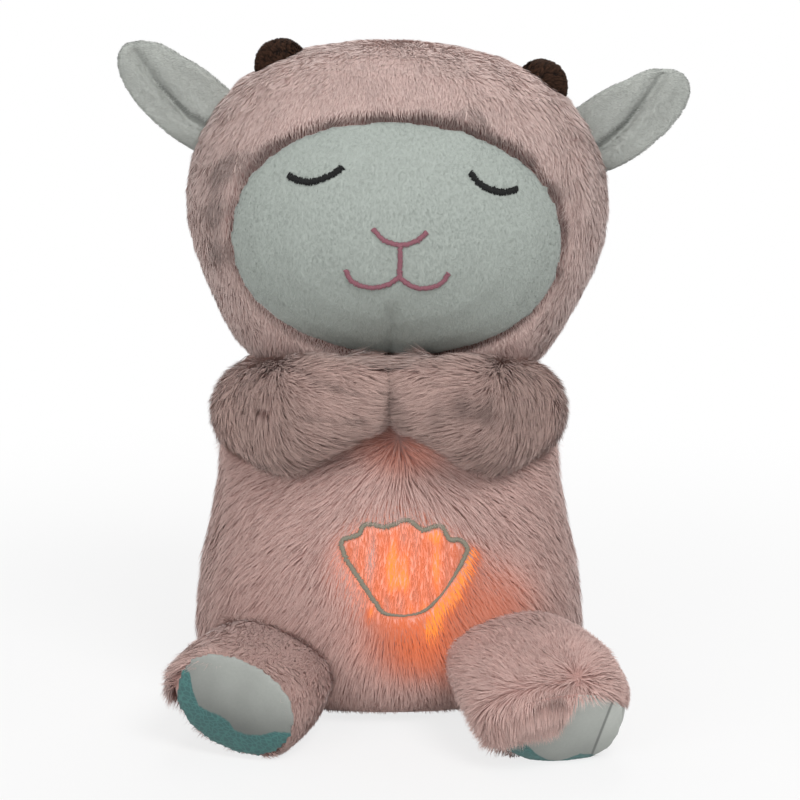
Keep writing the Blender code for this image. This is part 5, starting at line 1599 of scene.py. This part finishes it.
class FoamRing(bpy.types.Operator):
    """Make the foam ring between the push plate and the belly panel"""

    bl_idname = "lamb.foam_ring"
    bl_label = "Foam ring"

    def execute(self, context):
        ring = remeshed(form_of("foam_pad", "foam_ring"), voxels["foam"], 3)
        look = Finish("open_foam", Roughness=0.95)
        pores = look.cells(950.0)
        shade = look.mix(pores.rise(0.1, 0.5), paint(120, 120, 116), paint(214, 212, 204))
        look.feed(Base_Color=shade)
        look.bump(pores, 0.0005)
        dressed(ring, look.material)
        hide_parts("foam_ring")
        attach(ring, "plate")
        return {"FINISHED"}


class ModuleFinishes(bpy.types.Operator):
    """Give each plastic and metal part of the module its finish"""

    bl_idname = "lamb.module_finishes"
    bl_label = "Module finishes"

    def plastic(self, name, shade, grain, rough):
        """Moulded plastic with a fine spark-eroded grain."""
        look = Finish(name, IOR=1.48)
        fine = look.noise(grain, 3.0)
        cloud = look.noise(70.0, 2.0)
        look.feed(Base_Color=look.shaded(shade, cloud * 0.10 + fine * 0.05 + 0.92))
        look.feed(Roughness=cloud * 0.12 + fine * 0.1 + rough)
        look.bump(fine, 0.00006)
        return look.material

    def metal(self, name, shade, along, rough):
        """Drawn or turned metal with fine lines along one direction."""
        look = Finish(name, Metallic=1.0)
        lines = look.noise(900.0, 3.0, look.stretched(*along))
        spots = look.noise(140.0, 3.0)
        look.feed(Base_Color=look.shaded(shade, lines * 0.2 + spots * 0.15 + 0.82))
        look.feed(Roughness=lines * 0.2 + spots * 0.1 + rough)
        look.bump(lines, 0.00003)
        return look.material

    def board(self, name, base, track):
        """Circuit board with etched tracks under its lacquer and round solder pads."""
        look = Finish(name, Coat_Weight=0.3, Coat_Roughness=0.2)
        across, _, high = look.split()
        flat = look.node("ShaderNodeCombineXYZ", {}, {0: across, 1: high, 2: 0.0})
        bricks = look.node(
            "ShaderNodeTexBrick", {"offset": 0.37, "squash": 1.4},
            {"Vector": flat, "Scale": 150.0, "Mortar Size": 0.06, "Mortar Smooth": 0.3,
             "Brick Width": 1.1, "Row Height": 0.34}, "Fac",
        )
        pads = look.cells(260.0, vector=flat).rise(0.22, 0.16)
        shade = look.mix(bricks, base, track)
        look.feed(Base_Color=look.mix(pads, shade, paint(196, 192, 180)))
        look.feed(Roughness=0.5 - pads * 0.2, Metallic=pads * 0.8)
        look.bump(bricks * 0.4 + pads, 0.00008)
        return look.material

    def cell(self):
        """Plain cell jacket: dark sleeve with a metallic band at one end."""
        look = Finish("cell_sleeve", Coat_Weight=0.5, Coat_Roughness=0.15)
        band = look.split()[0].rise(0.0115, 0.0120)
        streak = look.noise(160.0, 2.0)
        shade = look.mix(band, paint(48, 54, 62), paint(190, 126, 70))
        look.feed(Base_Color=look.shaded(shade, streak * 0.2 + 0.9))
        look.feed(Roughness=0.32 + streak * 0.1, Metallic=band * 0.6)
        look.bump(look.noise(600.0, 2.0), 0.00003)
        return look.material

    def glowing(self, name, shade, light, strength):
        """Milky plastic that the lamps light from behind."""
        look = Finish(name, IOR=1.45, Subsurface_Weight=0.3)
        cloud = look.noise(180.0, 2.0)
        look.feed(Base_Color=look.shaded(shade, cloud * 0.1 + 0.93))
        look.feed(Roughness=cloud * 0.1 + 0.3)
        look.feed(Emission_Color=look.shaded(light, cloud * 0.4 + 0.6))
        look.feed(Emission_Strength=strength)
        look.bump(cloud, 0.00005)
        return look.material

    def cone(self):
        """Pressed paper cone with fine rings."""
        look = Finish("paper_cone", Roughness=0.85)
        fibres = look.noise(700.0, 4.0)
        rings = look.waves(260.0, "RINGS", "rings_direction", "Y")
        look.feed(Base_Color=look.shaded(paint(52, 50, 50), fibres * 0.7 + 0.6))
        look.bump(rings * 0.4 + fibres * 0.5, 0.00012)
        return look.material

    def execute(self, context):
        finishes = {
            "white_plastic": self.plastic("grained_white", paint(226, 226, 222), 2600.0, 0.42),
            "grey_plastic": self.plastic("grained_grey", paint(122, 124, 128), 2200.0, 0.40),
            "gear_plastic": self.plastic("acetal", paint(238, 236, 228), 1200.0, 0.22),
            "steel": self.metal("drawn_steel", paint(196, 197, 200), (0.12, 1.0, 1.0), 0.24),
            "nickel": self.metal("nickel_plate", paint(206, 202, 190), (1.0, 1.0, 0.2), 0.18),
            "cell_jacket": self.cell(),
            "light_board": self.board(
                "board_white", paint(232, 232, 226), paint(206, 208, 200)
            ),
            "circuit_board": self.board(
                "board_green", paint(24, 92, 52), paint(40, 128, 72)
            ),
            "lamp": self.glowing("lamp_lens", paint(250, 226, 180), paint(255, 190, 110), 3.0),
            "dome": self.glowing("milky_dome", paint(244, 236, 222), paint(255, 158, 84), 0.6),
            "speaker_cone": self.cone(),
        }
        for node in nodes.values():
            for slot in node.material_slots:
                finish = finishes.get(slot.material.name.split(".")[0])
                if finish is not None:
                    slot.material = finish
        return {"FINISHED"}


class Stage(bpy.types.Operator):
    """Set up the pale floor, the soft lamps and the camera"""

    bl_idname = "lamb.stage"
    bl_label = "Stage"

    def floor(self):
        bpy.ops.object.select_all(action="DESELECT")
        bpy.ops.mesh.primitive_plane_add(size=6.0, location=(0, 0, 0))
        floor = bpy.context.object
        floor.name = "floor"
        look = Finish("floor_white", Roughness=0.9)
        look.feed(Base_Color=look.shaded(paint(214, 214, 214), look.noise(6.0) * 0.02 + 0.98))
        light = look.node("ShaderNodeEmission", {}, {"Color": (1, 1, 1, 1), "Strength": 1.0})
        rays = look.tree.nodes.new("ShaderNodeLightPath").outputs
        seen = sum(
            (Wire(look, rays[f"Is {kind} Ray"]) for kind in ("Glossy", "Transmission")),
            Wire(look, rays["Is Camera Ray"]),
        )
        share = seen.least(1.0) * (look.far((0, 0, 0)).rise(0.12, 0.6) * 0.22 + 0.78)
        mixed = look.node(
            "ShaderNodeMixShader", {},
            {0: share, 1: Wire(look, look.shader.outputs[0]), 2: light},
        )
        look.tree.links.new(mixed.socket, look.tree.nodes["Material Output"].inputs["Surface"])
        dressed(floor, look.material)

    def lamp(self, name, place, side, power):
        bpy.ops.object.light_add(type="AREA", location=place)
        lamp = bpy.context.object
        lamp.name = name
        lamp.data.shape = "DISK"
        lamp.data.size = side
        lamp.data.energy = power
        aim = Vector((0, 0, 0.12)) - Vector(place)
        lamp.rotation_euler = aim.to_track_quat("-Z", "Y").to_euler()

    def world(self):
        world = bpy.data.worlds.new("studio")
        bpy.context.scene.world = world
        world.use_nodes = True
        tree = world.node_tree
        tree.nodes.clear()
        out = tree.nodes.new("ShaderNodeOutputWorld")
        mix = tree.nodes.new("ShaderNodeMixShader")
        rays = tree.nodes.new("ShaderNodeLightPath")
        seen = rays.outputs["Is Camera Ray"]
        for kind in ("Is Glossy Ray", "Is Transmission Ray"):
            add = tree.nodes.new("ShaderNodeMath")
            add.use_clamp = True
            tree.links.new(seen, add.inputs[0])
            tree.links.new(rays.outputs[kind], add.inputs[1])
            seen = add.outputs[0]
        for socket, strength in ((1, 0.36), (2, 1.0)):
            back = tree.nodes.new("ShaderNodeBackground")
            back.inputs["Color"].default_value = (1, 1, 1, 1)
            back.inputs["Strength"].default_value = strength
            tree.links.new(back.outputs[0], mix.inputs[socket])
        tree.links.new(seen, mix.inputs[0])
        tree.links.new(mix.outputs[0], out.inputs["Surface"])

    def execute(self, context):
        self.floor()
        self.world()
        self.lamp("lamp_key", (0.50, -1.05, 1.20), 0.8, 17.5)
        self.lamp("lamp_fill", (-0.8, -1.3, 0.6), 1.0, 9.5)
        self.lamp("lamp_back", (0.1, 1.0, 1.4), 0.9, 11.0)
        bpy.ops.object.camera_add(location=camera_place, rotation=(camera_pitch, 0, 0))
        camera = bpy.context.object
        camera.data.sensor_width = sensor_width
        camera.data.lens = camera_lens
        camera.data.shift_x = camera_shift
        camera.data.clip_start = 0.05
        context.scene.camera = camera
        context.scene.view_settings.view_transform = "Standard"
        return {"FINISHED"}


pieces = (
    TorsoSkin, Legs, TorsoFur, BellyOutline, Horns, Hood, Face, Ears, Arms, Soles, BackFlap,
    FoamRing, ModuleFinishes, Stage,
)


class LambPanel(bpy.types.Panel):
    """Lists the lamb's pieces and their sizes and colours"""

    bl_idname = "LAMB_PT_pieces"
    bl_label = "Plush lamb"
    bl_space_type = "VIEW_3D"
    bl_region_type = "UI"
    bl_category = "Lamb"

    def draw(self, context):
        column = self.layout.column()
        for piece in pieces:
            column.operator(piece.bl_idname)
        for group in (context.scene.lamb_sizes, context.scene.lamb_colours):
            box = self.layout.box()
            for key in group.bl_rna.properties.keys():
                if key not in ("rna_type", "name"):
                    box.prop(group, key)


def register():
    for item in (LambSizes, LambColours, *pieces, LambPanel):
        bpy.utils.register_class(item)
    bpy.types.Scene.lamb_sizes = bpy.props.PointerProperty(type=LambSizes)
    bpy.types.Scene.lamb_colours = bpy.props.PointerProperty(type=LambColours)


def unregister():
    del bpy.types.Scene.lamb_colours
    del bpy.types.Scene.lamb_sizes
    for item in reversed((LambSizes, LambColours, *pieces, LambPanel)):
        bpy.utils.unregister_class(item)


def main():
    register()
    for piece in pieces:
        group, call = piece.bl_idname.split(".")
        getattr(getattr(bpy.ops, group), call)()


if __name__ == "__main__":
    main()
